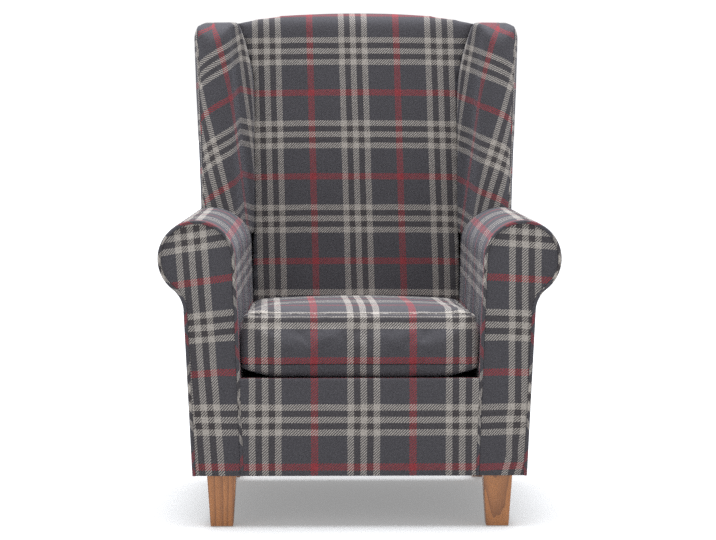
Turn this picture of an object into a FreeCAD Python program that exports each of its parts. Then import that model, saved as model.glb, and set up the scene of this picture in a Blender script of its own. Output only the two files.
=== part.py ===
import FreeCAD, Part

import math
import os

from FreeCAD import Placement, Rotation, Vector

# Fireside wing chair. Millimetres and degrees, +Z up, front towards -Y.
# Left and right are those of someone looking at the front of the chair.

driving_sizes = {
    # Stance
    "leg_height": 104,
    "skirt_gap": 3,
    "seat_depth": 520,
    "seat_height": 430,
    "back_rake": 12,
    "back_thickness": 140,
    "platform_slope": 2.5,
    # Upholstery layers
    "cover_thickness": 1.5,
    "arm_padding": 30,
    "arm_turn_in": 8,
    "side_padding": 6.5,
    "piping_radius": 3.5,
    "facing_thickness": 3,
    "clearance": 0.3,
    # Scroll arm, seen from the front
    "arm_head_offset": 320,
    "arm_head_height": 533,
    "arm_head_radius": 76,
    "arm_inner_base": 228,
    "arm_outer_base": 330,
    "arm_outer_neck": 346,
    "arm_neck_height": 443,
    "arm_underroll_radius": 30,
    "arm_toe_in": 1.5,
    "arm_rail_width": 76,
    # Back, in its raked frame
    "back_half_width": 225,
    "back_flare_start": 400,
    "back_flare_radius": 481,
    "back_corner_rise": 592,
    "back_centre_rise": 622,
    "back_tuck": 10,
    "back_crown": 10,
    "back_front_round": 45,
    "back_rear_round": 30,
    # Wings, in the raked frame
    "wing_reach": 108,
    "wing_nose_radius": 42,
    "wing_nose_low": 333,
    "wing_nose_high": 351,
    "wing_low_rise": 130,
    "wing_high_rise": 505,
    "wing_rear_offset": 312,
    "wing_front_rise": 512,
    "wing_lobe_rise": 582,
    "wing_top_rise": 590,
    "wing_lobe_radius": 46,
    "wing_lobe_edge": 353,
    # Timber frame
    "frame_board": 25,
    "rail_drop": 18,
    "side_rail_drop": 37,
    "rail_end_gap": 1,
    "frame_rail_thickness": 25,
    "back_post_width": 30,
    "back_post_depth": 45,
    "back_post_offset": 262,
    "back_post_rise": 545,
    "back_rail_setback": 85,
    "rear_rail_lift": 6.7,
    "rear_rail_drop": 25.2,
    "lower_back_rail_low": 100,
    "lower_back_rail_high": 45,
    "crest_rail_depth": 60,
    "crest_rail_drop": 25,
    "front_post_inset": 7.3,
    "wing_board_thickness": 18,
    "wing_board_offset": 282,
    "wing_board_flare": 5.5,
    "wing_board_drop": 45,
    "wing_board_round": 80,
    "wing_board_setback": 42,
    "wing_board_gap": 2,
    "corner_block_side": 60,
    "corner_block_rise": 45,
    # Legs and fittings
    "front_leg_top": 57.4,
    "front_leg_foot": 44.4,
    "rear_leg_top": 50,
    "rear_leg_foot": 38,
    "rear_leg_sweep": 38,
    "leg_offset": 273,
    "front_leg_setback": 37,
    "rear_leg_setback": 3.75,
    "leg_edge_round": 3,
    "leg_plate_side": 52,
    "bolt_radius": 4,
    "bolt_in_leg": 40,
    "bolt_above_leg": 14,
    "glide_radius": 11,
    "glide_thickness": 2,
    # Seat platform
    "spring_count": 5,
    "spring_spacing": 82,
    "spring_wire_radius": 1.9,
    "spring_half_width": 25,
    "spring_pitch": 24,
    "spring_rise": 5,
    "felt_rise": 7.2,
    "felt_thickness": 4.8,
    "clip_length": 20,
    "clip_width": 24,
    "clip_thickness": 1.2,
    "clip_setback": 2,
    "platform_lap": 12,
    "strap_count": 4,
    "webbing_width": 50,
    "webbing_spacing": 100,
    "webbing_thickness": 2,
    "webbing_lap": 30,
    "dust_cover_margin": 8,
    "plate_gap": 1,
    # Seat cushion
    "cushion_rise": 128,
    "cushion_crown": 13,
    "cushion_half_width": 239,
    "cushion_low_seam": 27,
    "cushion_under_round": 42,
    "cushion_corner_round": 26,
    "cushion_side_draw": 3,
    "cushion_bow": 2,
    "cushion_rear_fall": 4,
    "cushion_overrun": 60,
    "cushion_side_gap": 1,
    "cushion_rear_gap": 5,
    "zip_length": 340,
    "zip_width": 24,
    "zip_thickness": 1.2,
    "zip_drop": 75,
    "slider_length": 14,
    "slider_width": 9,
    "slider_thickness": 2.6,
    "slider_offset": 4,
}

os.makedirs("parts", exist_ok=True)
doc = FreeCAD.newDocument("fireside_chair")
sheet = doc.addObject("Spreadsheet::Sheet", "sizes")
for row, (alias, value) in enumerate(driving_sizes.items(), start=1):
    sheet.set(f"A{row}", str(value))
    sheet.setAlias(f"A{row}", alias)
doc.recompute()


def size(alias):
    return float(sheet.get(alias))


# Derived places shared by several pieces

cover = size("cover_thickness")
clearance = size("clearance")
piping = size("piping_radius")
leg_height = size("leg_height")
frame_base = leg_height + size("skirt_gap")
rail_top = size("seat_height") - size("cushion_rise") - size("rail_drop")
side_rail_top = rail_top - size("side_rail_drop")
back_low = -size("cushion_rise") - size("back_tuck")
board_front = piping + cover
board_rear = board_front + size("frame_board")
rake = math.radians(size("back_rake"))
toe_in = math.tan(math.radians(size("arm_toe_in")))
thickness = size("back_thickness")
inner_thickness = thickness - cover
crown = size("back_crown")
arm_length = 2 * size("seat_depth")

# The chair's rearmost point is on the rounded rear edge of the crest
rear_round = size("back_rear_round")
crest_rise = size("back_centre_rise") - rear_round
overall_depth = (
    size("seat_depth")
    + crest_rise * math.sin(rake)
    + (thickness - rear_round) * math.cos(rake)
    + rear_round
)
front_y = -overall_depth / 2

raked_frame = Placement(
    Vector(0, front_y + size("seat_depth"), size("seat_height")),
    Rotation(Vector(1, 0, 0), -size("back_rake")),
)
platform_frame = Placement(
    Vector(0, front_y, rail_top), Rotation(Vector(1, 0, 0), -size("platform_slope"))
)

pieces = {}
far = 2000


def keep_piece(label, feature):
    feature.Label = label
    pieces[label] = feature
    return feature


def add_shape(label, shape):
    feature = doc.addObject("Part::Feature", label)
    feature.Shape = shape
    return keep_piece(label, feature)


def mirrored(shape):
    return shape.mirror(Vector(0, 0, 0), Vector(1, 0, 0))


def add_pair(name, right_shape):
    add_shape(f"left_{name}", mirrored(right_shape))
    add_shape(f"right_{name}", right_shape)


def largest_solid(shape):
    return max(shape.Solids, key=lambda solid: solid.Volume)


def middle_solid(shape):
    # The solid that crosses the chair's centre line
    return min(shape.Solids, key=lambda solid: abs(solid.CenterOfMass.x))


# Outlines are lists of flat pieces: (start, end) is a line, (start, middle, end) an arc


def polygon(*corners):
    return [(a, b) for a, b in zip(corners, corners[1:] + corners[:1])]


def seen_from_front(x, z):
    return Vector(x, 0, z)


def seen_from_side(y, z):
    return Vector(0, y, z)


def seen_from_above(x, y):
    return Vector(x, y, 0)


def outline_edge(piece, lift):
    points = [lift(*point) for point in piece]
    if len(points) == 2:
        return Part.LineSegment(*points).toShape()
    return Part.Arc(*points).toShape()


def outline_wire(outline, lift):
    return Part.Wire([outline_edge(piece, lift) for piece in outline])


def slab(outline, lift, start, length, frame=None):
    # A flat outline carried straight along its normal, from start over length
    axis = {
        seen_from_front: Vector(0, 1, 0),
        seen_from_side: Vector(1, 0, 0),
        seen_from_above: Vector(0, 0, 1),
    }[lift]
    face = Part.Face(outline_wire(outline, lift))
    face.translate(axis * start)
    solid = face.extrude(axis * length)
    if frame is not None:
        solid.Placement = frame.multiply(solid.Placement)
    return solid


def box_between(low, high, frame=None):
    sides = [b - a for a, b in zip(low, high)]
    solid = Part.makeBox(*sides, Vector(*low))
    if frame is not None:
        solid.Placement = frame.multiply(solid.Placement)
    return solid


def raked_box(x0, x1, v0, v1, w0, w1):
    return box_between((x0, v0, w0), (x1, v1, w1), raked_frame)


def above(height):
    return box_between((-far, -far, height), (far, far, far))


def on_arc(centre, radius, angle):
    return (centre[0] + radius * math.cos(angle), centre[1] + radius * math.sin(angle))


def arc_round(centre, radius, start, end):
    middle = (start + end) / 2
    return (
        on_arc(centre, radius, start),
        on_arc(centre, radius, middle),
        on_arc(centre, radius, end),
    )


# Scroll arm


def arm_outline(inset, side_inset, bottom):
    # Scroll of the right arm: leaning inner line, round head, hollow under the roll, outer line
    centre = (size("arm_head_offset"), size("arm_head_height"))
    radius = size("arm_head_radius")
    foot = (size("arm_inner_base"), leg_height)
    reach = (centre[0] - foot[0], centre[1] - foot[1])
    distance = math.hypot(*reach)
    lean = math.atan2(reach[0], reach[1]) - math.asin(radius / distance)
    inner_angle = math.pi - lean
    head = radius - inset

    low = (size("arm_outer_base"), leg_height)
    neck = (size("arm_outer_neck"), size("arm_neck_height"))
    length = math.hypot(neck[0] - low[0], neck[1] - low[1])
    up = ((neck[0] - low[0]) / length, (neck[1] - low[1]) / length)
    out = (up[1], -up[0])
    hollow = size("arm_underroll_radius")
    start = (low[0] + hollow * out[0] - centre[0], low[1] + hollow * out[1] - centre[1])
    along = start[0] * up[0] + start[1] * up[1]
    reach_out = head + hollow + side_inset
    root = math.sqrt(along**2 - start[0] ** 2 - start[1] ** 2 + reach_out**2)
    step = -along - root
    under = (centre[0] + start[0] + step * up[0], centre[1] + start[1] + step * up[1])
    head_end = math.atan2(under[1] - centre[1], under[0] - centre[0])
    hollow_start = head_end + math.pi
    hollow_end = math.atan2(-out[1], -out[0])
    if hollow_end < 0:
        hollow_end += 2 * math.pi

    top = math.pi / 2
    head_arcs = [arc_round(centre, head, inner_angle, top), arc_round(centre, head, top, head_end)]
    hollow_arc = arc_round(under, hollow + side_inset, hollow_start, hollow_end)
    inner_top = head_arcs[0][0]
    inner_low = (inner_top[0] - math.tan(lean) * (inner_top[1] - bottom), bottom)
    outer_top = hollow_arc[2]
    outer_low = (outer_top[0] - up[0] / up[1] * (outer_top[1] - bottom), bottom)
    return [(inner_low, inner_top), *head_arcs, hollow_arc, (outer_top, outer_low), (outer_low, inner_low)]


def arm_prism(inset, side_inset, bottom, front, rear):
    # The arm draws in towards the seat as it runs back
    face = Part.Face(outline_wire(arm_outline(inset, side_inset, bottom), seen_from_front))
    face.translate(Vector(-toe_in * front, front_y + front, 0))
    return face.extrude(Vector(-toe_in * (rear - front), rear - front, 0))


def ahead_of(setback):
    # Everything in front of a plane that lies setback behind the inside back
    return raked_box(-far, far, -far, setback, -far, far)


def both_arms(gap):
    right = arm_prism(-gap, -gap, 0, -thickness, arm_length)
    return right.fuse(mirrored(right))


arms_room = both_arms(clearance)


# Back and wings


def crease_at(rise, inset=0):
    flare = size("back_flare_radius")
    climb = max(0, rise - size("back_flare_start"))
    return size("back_half_width") - inset + flare - math.sqrt(flare**2 - climb**2)


def crease_arc(sign, top):
    start = size("back_flare_start")
    return [
        (sign * crease_at(rise), rise) for rise in (start, (start + top) / 2, top)
    ]


def back_front_outline(inset):
    low = back_low
    corner = size("back_corner_rise") - inset
    right = crease_arc(1, corner)
    left = crease_arc(-1, corner)
    half = size("back_half_width")
    apex = (0, size("back_centre_rise") - inset)
    return [
        ((half, low), right[0]),
        tuple(right),
        (right[2], apex, left[2]),
        tuple(reversed(left)),
        (left[0], (-half, low)),
        ((-half, low), (half, low)),
    ]


def back_side_outline(inset):
    low = back_low
    top = size("back_centre_rise") - inset
    front = inset - crown
    front_round = size("back_front_round") - inset
    rear_bend = rear_round - inset
    rear_face = thickness - inset
    front_centre = (front + front_round, top - front_round)
    rear_centre = (rear_face - rear_bend, top - rear_bend)
    outline = [
        ((front, low), (front, front_centre[1])),
        arc_round(front_centre, front_round, math.pi, math.pi / 2),
    ]
    outline.append((outline[-1][2], (rear_centre[0], top)))
    outline.append(arc_round(rear_centre, rear_bend, math.pi / 2, 0))
    return outline + [(outline[-1][2], (rear_face, low)), ((rear_face, low), (front, low))]


def back_plan_outline(inset):
    # The inside back is crowned from side to side
    half = size("back_half_width")
    radius = (half**2 + crown**2) / (2 * crown)
    centre = (0, radius - crown)
    spread = math.asin(1.4 * half / radius)
    bow = arc_round(centre, radius - inset, -math.pi / 2 - spread, -math.pi / 2 + spread)
    wide = 2 * half
    return [
        ((-wide, bow[0][1]), bow[0]),
        bow,
        (bow[2], (wide, bow[2][1])),
        ((wide, bow[2][1]), (wide, 2 * thickness)),
        ((wide, 2 * thickness), (-wide, 2 * thickness)),
        ((-wide, 2 * thickness), (-wide, bow[0][1])),
    ]


def back_body(inset):
    front = slab(back_front_outline(inset), seen_from_front, -far, 2 * far, raked_frame)
    side = slab(back_side_outline(inset), seen_from_side, -far, 2 * far, raked_frame)
    plan = slab(back_plan_outline(inset), seen_from_above, -far, 2 * far, raked_frame)
    body = front.common(side).common(plan).common(ahead_of(inner_thickness))
    return largest_solid(body.cut(arms_room))


def nose_at(rise):
    low, high = size("wing_low_rise"), size("wing_high_rise")
    share = (rise - low) / (high - low)
    return size("wing_nose_low") + share * (size("wing_nose_high") - size("wing_nose_low"))


def tangent_angle(point, centre, radius, side):
    # Direction from the centre to where a line from the point touches the circle
    back = math.atan2(point[1] - centre[1], point[0] - centre[0])
    distance = math.hypot(point[0] - centre[0], point[1] - centre[1])
    return back + side * math.acos(radius / distance)


def wing_plan_outline(rise, inset, outer_inset):
    nose = size("wing_nose_radius")
    centre = (nose_at(rise) - nose, nose - size("wing_reach"))
    crease = (size("back_half_width"), 0)
    corner = (size("wing_rear_offset"), thickness)
    inner = tangent_angle(crease, centre, nose, 1)
    outer = tangent_angle(corner, centre, nose, -1)
    inner_touch = on_arc(centre, nose - inset, inner)
    outer_touch = on_arc(centre, nose - outer_inset, outer)
    crease_shift = (crease[0] - inner_touch[0]) * math.cos(inner) / -math.sin(inner)
    crease_point = (crease[0], inner_touch[1] + crease_shift)
    deep = 2 * thickness
    outer_shift = (deep - outer_touch[1]) * math.sin(outer) / -math.cos(outer)
    outer_point = (outer_touch[0] + outer_shift, deep)
    front = (centre[0] + (inset - outer_inset) / 2, centre[1] - nose + max(inset, outer_inset))
    return [
        ((crease[0], deep), crease_point),
        (crease_point, inner_touch),
        (inner_touch, front, outer_touch),
        (outer_touch, outer_point),
        (outer_point, (crease[0], deep)),
    ]


def wing_front_outline(inset):
    low = back_low
    corner = size("back_corner_rise") - inset
    right = crease_arc(1, corner)
    lobe = size("wing_lobe_radius") - inset
    top = size("wing_top_rise") - inset
    edge = size("wing_lobe_edge") - inset
    lobe_centre = (edge - lobe, top - lobe)
    round_over = arc_round(lobe_centre, lobe, math.pi / 2, 0)
    return [
        ((size("back_half_width"), low), right[0]),
        tuple(right),
        (right[2], round_over[0]),
        round_over,
        (round_over[2], (edge, low)),
        ((edge, low), (size("back_half_width"), low)),
    ]


def wing_side_outline(inset):
    low = back_low
    front = inset - size("wing_reach")
    bend = size("wing_lobe_rise") - size("wing_front_rise")
    centre = (bend - size("wing_reach"), size("wing_front_rise"))
    lobe = arc_round(centre, bend - inset, math.pi, math.pi / 2)
    top = size("wing_top_rise") - inset
    rear = thickness
    rear_centre = (rear - rear_round, size("wing_top_rise") - rear_round)
    fall = arc_round(rear_centre, rear_round - inset, math.pi / 2, 0)
    return [
        ((front, low), lobe[0]),
        lobe,
        (lobe[2], (0, top)),
        ((0, top), fall[0]),
        fall,
        (fall[2], (fall[2][0], low)),
        ((fall[2][0], low), (front, low)),
    ]


def wing_wedge(inset, outer_inset):
    low, high = 2 * back_low, 2 * size("back_centre_rise")
    wires = []
    for rise in (low, high):
        wire = outline_wire(wing_plan_outline(rise, inset, outer_inset), seen_from_above)
        wire.translate(Vector(0, 0, rise))
        wires.append(wire)
    wedge = Part.makeLoft(wires, True, True)
    wedge.Placement = raked_frame.multiply(wedge.Placement)
    return wedge


def wing_body(inset, outer_inset):
    front = slab(wing_front_outline(inset), seen_from_front, -far, 2 * far, raked_frame)
    side = slab(wing_side_outline(inset), seen_from_side, -far, 2 * far, raked_frame)
    body = wing_wedge(inset, outer_inset).common(front).common(side)
    return largest_solid(body.common(ahead_of(inner_thickness)).cut(arms_room))


# Timber pieces are bodies made from a flat sketch and a pad


def origin_plane(body, role):
    return next(plane for plane in body.Origin.OriginFeatures if plane.Role == role)


def new_sketch(body, name, role, offset=None):
    sketch = body.newObject("Sketcher::SketchObject", name)
    sketch.AttachmentSupport = [(origin_plane(body, role), "")]
    sketch.MapMode = "FlatFace"
    if offset is not None:
        sketch.AttachmentOffset = offset
    return sketch


def board(label, outline, role, length, place, reverse=False):
    body = doc.addObject("PartDesign::Body", label)
    sketch = new_sketch(body, f"{label}_outline", role)
    for piece in outline:
        points = [Vector(a, b, 0) for a, b in piece]
        curve = Part.LineSegment(*points) if len(points) == 2 else Part.Arc(*points)
        sketch.addGeometry(curve, False)
    pad = body.newObject("PartDesign::Pad", f"{label}_thickness")
    pad.Profile = sketch
    pad.Reversed = reverse
    pad.setExpression("Length", length)
    body.Placement = place
    return body


def bolt_hole(label, base, centre_x, centre_y, low, high):
    # A clearance hole for a hanger bolt, drilled straight up into a piece of the frame
    drill = doc.addObject("Part::Cylinder", f"{label}_drill")
    drill.setExpression("Radius", "sizes.bolt_radius + sizes.clearance")
    drill.Height = high - low
    drill.Placement = Placement(Vector(centre_x, centre_y, low), Rotation())
    cut = doc.addObject("Part::Cut", label)
    cut.Base = base
    cut.Tool = drill
    return cut


half_rail = size("frame_rail_thickness") / 2
front_bolt_y = front_y + size("front_leg_setback")
rear_leg_x = size("back_post_offset") + size("back_post_width") / 2
bolt_top = leg_height + size("bolt_above_leg")
drill_top = bolt_top + size("glide_thickness")


def outer_base_at(y, inset):
    return size("arm_outer_base") - toe_in * (y - front_y) - inset


side_rail_inset = size("side_padding") + cover


def level_rise(setback, height):
    # How far up the raked frame a level height is reached
    return (height - size("seat_height") + setback * math.sin(rake)) / math.cos(rake)


def raked_point(setback, rise):
    place = raked_frame.multVec(Vector(0, setback, rise))
    return (place.y, place.z)


def level_point(setback, height):
    return raked_point(setback, level_rise(setback, height))


post_front = size("back_rail_setback")
post_rear = post_front + size("back_post_depth")
post_foot = level_point((post_front + post_rear) / 2, frame_base)
rear_leg_y = post_foot[0] + size("rear_leg_setback")


def side_rail(side):
    # Runs back from the front rail along the drawn-in outer side of the arm to the back post
    front = front_y + board_rear
    label = "right_side_rail" if side > 0 else "left_side_rail"
    outer_front = outer_base_at(front, side_rail_inset)
    low_rear = level_point(post_front, frame_base)
    high_rear = level_point(post_front, side_rail_top)
    gap = size("rail_end_gap")
    outline = polygon(
        (0, frame_base),
        (low_rear[0] - front - gap, frame_base),
        (high_rear[0] - front - gap, high_rear[1]),
        (0, high_rear[1]),
    )
    inner_front = outer_front - size("frame_rail_thickness")
    place = Placement(
        Vector(side * inner_front, front, 0), Rotation(Vector(0, 0, 1), side * size("arm_toe_in"))
    )
    return keep_piece(
        label,
        board(label, outline, "YZ_Plane", "sizes.frame_rail_thickness", place, reverse=side < 0),
    )


front_rail_half = outer_base_at(front_y + board_rear + size("frame_rail_thickness"), side_rail_inset)
front_rail_half -= size("frame_rail_thickness")
front_rail_outline = polygon(
    (-front_rail_half, 0),
    (front_rail_half, 0),
    (front_rail_half, rail_top - frame_base),
    (-front_rail_half, rail_top - frame_base),
)
front_rail_body = board(
    "front_rail_board",
    front_rail_outline,
    "XZ_Plane",
    "sizes.frame_rail_thickness",
    Placement(Vector(0, front_y + board_rear, frame_base), Rotation()),
    reverse=True,
)
half_drilled = bolt_hole(
    "front_rail_left_hole", front_rail_body, -size("leg_offset"), front_bolt_y, frame_base, drill_top
)
front_rail = keep_piece(
    "front_rail",
    bolt_hole("front_rail", half_drilled, size("leg_offset"), front_bolt_y, frame_base, drill_top),
)
left_side_rail = side_rail(-1)
right_side_rail = side_rail(1)


def front_post(side):
    # Scroll-shaped board behind each arm facing
    label = "right_front_post" if side > 0 else "left_front_post"
    inset = size("front_post_inset")
    outline = arm_outline(inset, inset, frame_base)
    outline = [tuple((side * x, z) for x, z in piece) for piece in outline]
    place = Placement(Vector(0, front_y + board_front, 0), Rotation())
    body = board(label, outline, "XZ_Plane", "sizes.frame_board", place, reverse=True)
    return keep_piece(label, body)


left_front_post = front_post(-1)
right_front_post = front_post(1)


# Raked back posts, cut level where they stand on the leg plates


def back_post(side):
    name = "right_back_post" if side > 0 else "left_back_post"
    outline = polygon(
        level_point(post_front, frame_base),
        level_point(post_rear, frame_base),
        raked_point(post_rear, size("back_post_rise")),
        raked_point(post_front, size("back_post_rise")),
    )
    start = size("back_post_offset")
    x = start if side > 0 else -start - size("back_post_width")
    place = Placement(Vector(x, 0, 0), Rotation())
    body = board(f"{name}_board", outline, "YZ_Plane", "sizes.back_post_width", place)
    return keep_piece(name, bolt_hole(name, body, side * rear_leg_x, rear_leg_y, frame_base, drill_top))


left_back_post = back_post(-1)
right_back_post = back_post(1)


def cross_rail(label, low, high):
    # A rail between the back posts, flush with their front faces
    offset = size("back_post_offset")
    outline = polygon((-offset, low), (offset, low), (offset, high), (-offset, high))
    place = raked_frame.multiply(Placement(Vector(0, post_front, 0), Rotation()))
    body = board(label, outline, "XZ_Plane", "sizes.frame_rail_thickness", place, reverse=True)
    return keep_piece(label, body)


rail_back = post_front + size("frame_rail_thickness")
rear_rail_low = level_rise(rail_back, frame_base + size("rear_rail_lift"))
rear_rail_high = level_rise(post_front, rail_top - size("rear_rail_drop"))
rear_rail = cross_rail("rear_rail", rear_rail_low, rear_rail_high)
lower_back_rail = cross_rail(
    "lower_back_rail", -size("lower_back_rail_low"), -size("lower_back_rail_high")
)

# Crest rail with an arched top edge
crest_half = size("back_post_offset")
crest_top = size("back_centre_rise") - size("crest_rail_drop")
crest_end = size("back_post_rise")
crest_low = crest_end - size("crest_rail_depth")
crest_outline = [
    ((-crest_half, crest_low), (crest_half, crest_low)),
    ((crest_half, crest_low), (crest_half, crest_end)),
    ((crest_half, crest_end), (0, crest_top), (-crest_half, crest_end)),
    ((-crest_half, crest_end), (-crest_half, crest_low)),
]
crest_rail = keep_piece(
    "crest_rail",
    board(
        "crest_rail",
        crest_outline,
        "XZ_Plane",
        "sizes.frame_rail_thickness",
        raked_frame.multiply(Placement(Vector(0, post_front, 0), Rotation())),
        reverse=True,
    ),
)

# Arm rails fill the middle of each scroll, from the front post to the back post
rail_hollow = size("arm_head_radius") - size("arm_padding") - clearance
arm_rail_half = size("arm_rail_width") / 2
arm_rail_rise = math.sqrt(rail_hollow**2 - arm_rail_half**2)
arm_rail_top = size("arm_head_height") + arm_rail_rise


def arm_rail_shape():
    low = size("arm_head_height") - arm_rail_rise
    start = size("arm_head_offset") - arm_rail_half
    outline = polygon(
        (start, low),
        (start + 2 * arm_rail_half, low),
        (start + 2 * arm_rail_half, arm_rail_top),
        (start, arm_rail_top),
    )
    face = Part.Face(outline_wire(outline, seen_from_front))
    face.translate(Vector(-toe_in * board_rear, front_y + board_rear, 0))
    length = 2 * size("seat_depth")
    return largest_solid(face.extrude(Vector(-toe_in * length, length, 0)).common(ahead_of(post_front)))


add_pair("arm_rail", arm_rail_shape())


def wing_board_outline():
    front = size("wing_board_setback") - size("wing_reach")
    rear = post_front - size("wing_board_gap")
    bend = size("wing_board_round")
    top = size("wing_lobe_rise") - size("wing_board_drop")
    seat = arm_rail_top + size("wing_board_gap") / 2
    lobe = arc_round((front + bend, top - bend), bend, math.pi, math.pi / 2)
    return [
        ((front, level_rise(front, seat)), lobe[0]),
        lobe,
        (lobe[2], (rear, top)),
        ((rear, top), (rear, level_rise(rear, seat))),
        ((rear, level_rise(rear, seat)), (front, level_rise(front, seat))),
    ]


def wing_board(side):
    # Plywood board that stands on the arm rail and meets the front of the back post
    label = "right_wing_board" if side > 0 else "left_wing_board"
    turn = Rotation(Vector(0, 0, 1), side * size("wing_board_flare"))
    place = Placement(Vector(side * size("wing_board_offset"), post_front, 0), turn)
    outline = [tuple((v - post_front, w) for v, w in piece) for piece in wing_board_outline()]
    place = raked_frame.multiply(place)
    body = board(label, outline, "YZ_Plane", "sizes.wing_board_thickness", place, reverse=side < 0)
    return keep_piece(label, body)


left_wing_board = wing_board(-1)
right_wing_board = wing_board(1)
doc.recompute()


# Legs


upright = Rotation(Vector(1, 0, 0), 90)


def leg(label, top, foot, x, y, sweep):
    # Square taper with softened edges; a rear leg's foot is swept back from its top
    taper = doc.addObject("Part::Wedge", f"{label}_taper")
    taper.setExpression("Ymin", "sizes.glide_thickness")
    taper.setExpression("Ymax", "sizes.leg_height")
    for low, high, width in (("Xmin", "Xmax", foot), ("X2min", "X2max", top), ("Z2min", "Z2max", top)):
        taper.setExpression(low, f"-{width} / 2")
        taper.setExpression(high, f"{width} / 2")
    taper.setExpression("Zmin", f"-{foot} / 2 - {sweep}")
    taper.setExpression("Zmax", f"{foot} / 2 - {sweep}")
    taper.Placement = Placement(Vector(x, y, 0), upright)
    doc.recompute()
    softened = doc.addObject("Part::Fillet", f"{label}_softened")
    softened.Base = taper
    radius = size("leg_edge_round")
    softened.Edges = [
        (number, radius, radius)
        for number, edge in enumerate(taper.Shape.Edges, start=1)
        if edge.BoundBox.ZLength > leg_height / 2
    ]
    low = leg_height - size("bolt_in_leg") - 1
    return keep_piece(label, bolt_hole(label, softened, x, y, low, leg_height + 1))


for side, name in ((-1, "left"), (1, "right")):
    leg(
        f"front_{name}_leg",
        "sizes.front_leg_top",
        "sizes.front_leg_foot",
        side * size("leg_offset"),
        front_bolt_y,
        "0",
    )
    leg(
        f"rear_{name}_leg",
        "sizes.rear_leg_top",
        "sizes.rear_leg_foot",
        side * rear_leg_x,
        rear_leg_y,
        "sizes.rear_leg_sweep",
    )

leg_places = []
for side in (-1, 1):
    leg_places.append((side * size("leg_offset"), front_bolt_y, 0))
    leg_places.append((side * rear_leg_x, rear_leg_y, size("rear_leg_sweep")))


def group(label, members):
    compound = doc.addObject("Part::Compound", label)
    compound.Links = members
    return keep_piece(label, compound)


def plain_cylinder(name, radius, height, place):
    cylinder = doc.addObject("Part::Cylinder", name)
    cylinder.setExpression("Radius", radius)
    cylinder.setExpression("Height", height)
    cylinder.Placement = place
    return cylinder


def plain_box(name, length, width, height, place):
    box = doc.addObject("Part::Box", name)
    box.setExpression("Length", length)
    box.setExpression("Width", width)
    box.setExpression("Height", height)
    box.Placement = place
    return box


bolts = []
plates = []
glides = []
for number, (x, y, sweep) in enumerate(leg_places, start=1):
    bolt_low = Placement(Vector(x, y, leg_height - size("bolt_in_leg")), Rotation())
    bolt_length = "sizes.bolt_in_leg + sizes.bolt_above_leg"
    bolts.append(plain_cylinder(f"bolt_{number}", "sizes.bolt_radius", bolt_length, bolt_low))
    glide_place = Placement(Vector(x, y + sweep, 0), Rotation())
    glides.append(
        plain_cylinder(f"glide_{number}", "sizes.glide_radius", "sizes.glide_thickness", glide_place)
    )
    half_plate = size("leg_plate_side") / 2
    plate = plain_box(
        f"plate_{number}_blank",
        "sizes.leg_plate_side",
        "sizes.leg_plate_side",
        "sizes.skirt_gap",
        Placement(Vector(x - half_plate, y - half_plate, leg_height), Rotation()),
    )
    plates.append(bolt_hole(f"plate_{number}", plate, x, y, leg_height - 1, frame_base + 1))
group("leg_hanger_bolts", bolts)
group("leg_plates", plates)
group("leg_glides", glides)


# Corner blocks glued into the seat frame, their inner corner sawn off


def corner_block(side, y, direction):
    reach = size("corner_block_side")
    corner = outer_base_at(max(y, y + direction * reach), side_rail_inset)
    corner -= size("frame_rail_thickness") + clearance
    points = [
        (side * corner, y),
        (side * corner, y + direction * reach),
        (side * (corner - reach / 3), y + direction * reach),
        (side * (corner - reach), y + direction * reach / 3),
        (side * (corner - reach), y),
    ]
    return slab(polygon(*points), seen_from_above, frame_base, size("corner_block_rise"))


block_front = front_y + board_rear + size("frame_rail_thickness")
rear_line = level_point(post_front, frame_base)[0] - clearance
blocks = [corner_block(side, block_front, 1) for side in (-1, 1)]
blocks += [corner_block(side, rear_line, -1) for side in (-1, 1)]
add_shape("corner_blocks", Part.makeCompound(blocks))


# Seat platform: springs, clips, felt and platform cloth


def spring_path(x_centre, start, end, rise):
    # Runs across the spring joined by half-round bends, all in one plane
    pitch = size("spring_pitch")
    bend = pitch / 2
    run = size("spring_half_width") - bend
    turns = int((end - start) / pitch)
    edges = []
    sign = 1
    depth = start
    for turn in range(turns):
        here = Vector(x_centre - sign * run, depth, rise)
        there = Vector(x_centre + sign * run, depth, rise)
        after = there + Vector(0, pitch, 0)
        tip = there + Vector(sign * bend, bend, 0)
        edges.append(Part.LineSegment(here, there).toShape())
        edges.append(Part.Arc(there, tip, after).toShape())
        depth += pitch
        sign = -sign
    here = Vector(x_centre - sign * run, depth, rise)
    edges.append(Part.LineSegment(here, here + Vector(2 * sign * run, 0, 0)).toShape())
    return edges


def spring(x_centre):
    start = board_rear + half_rail / 2
    end = rear_line - front_y + size("frame_rail_thickness")
    edges = spring_path(x_centre, start, end, size("spring_rise"))
    first = edges[0].Vertexes[0].Point
    section = Part.Wire([Part.Circle(first, Vector(1, 0, 0), size("spring_wire_radius")).toShape()])
    wire = Part.Wire(edges)
    solid = wire.makePipeShell([section], True, False)
    solid.Placement = platform_frame.multiply(solid.Placement)
    return solid


count = int(size("spring_count"))
spring_places = [(number - (count - 1) / 2) * size("spring_spacing") for number in range(count)]
springs = [spring(place) for place in spring_places]
add_shape("seat_springs", Part.makeCompound(springs))

clips = []
for number, place in enumerate(spring_places):
    left_edge = place - size("clip_width") / 2
    setback = size("clip_setback")
    front_clip = Placement(Vector(left_edge, front_y + board_rear + setback, rail_top), Rotation())
    rear_clip = Placement(Vector(left_edge, post_front + setback, rear_rail_high), Rotation())
    rear_clip = raked_frame.multiply(rear_clip)
    for end, place_at in (("front", front_clip), ("rear", rear_clip)):
        clips.append(
            plain_box(
                f"clip_{end}_{number}",
                "sizes.clip_width",
                "sizes.clip_length",
                "sizes.clip_thickness",
                place_at,
            )
        )
group("spring_clips", clips)
doc.recompute()


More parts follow.
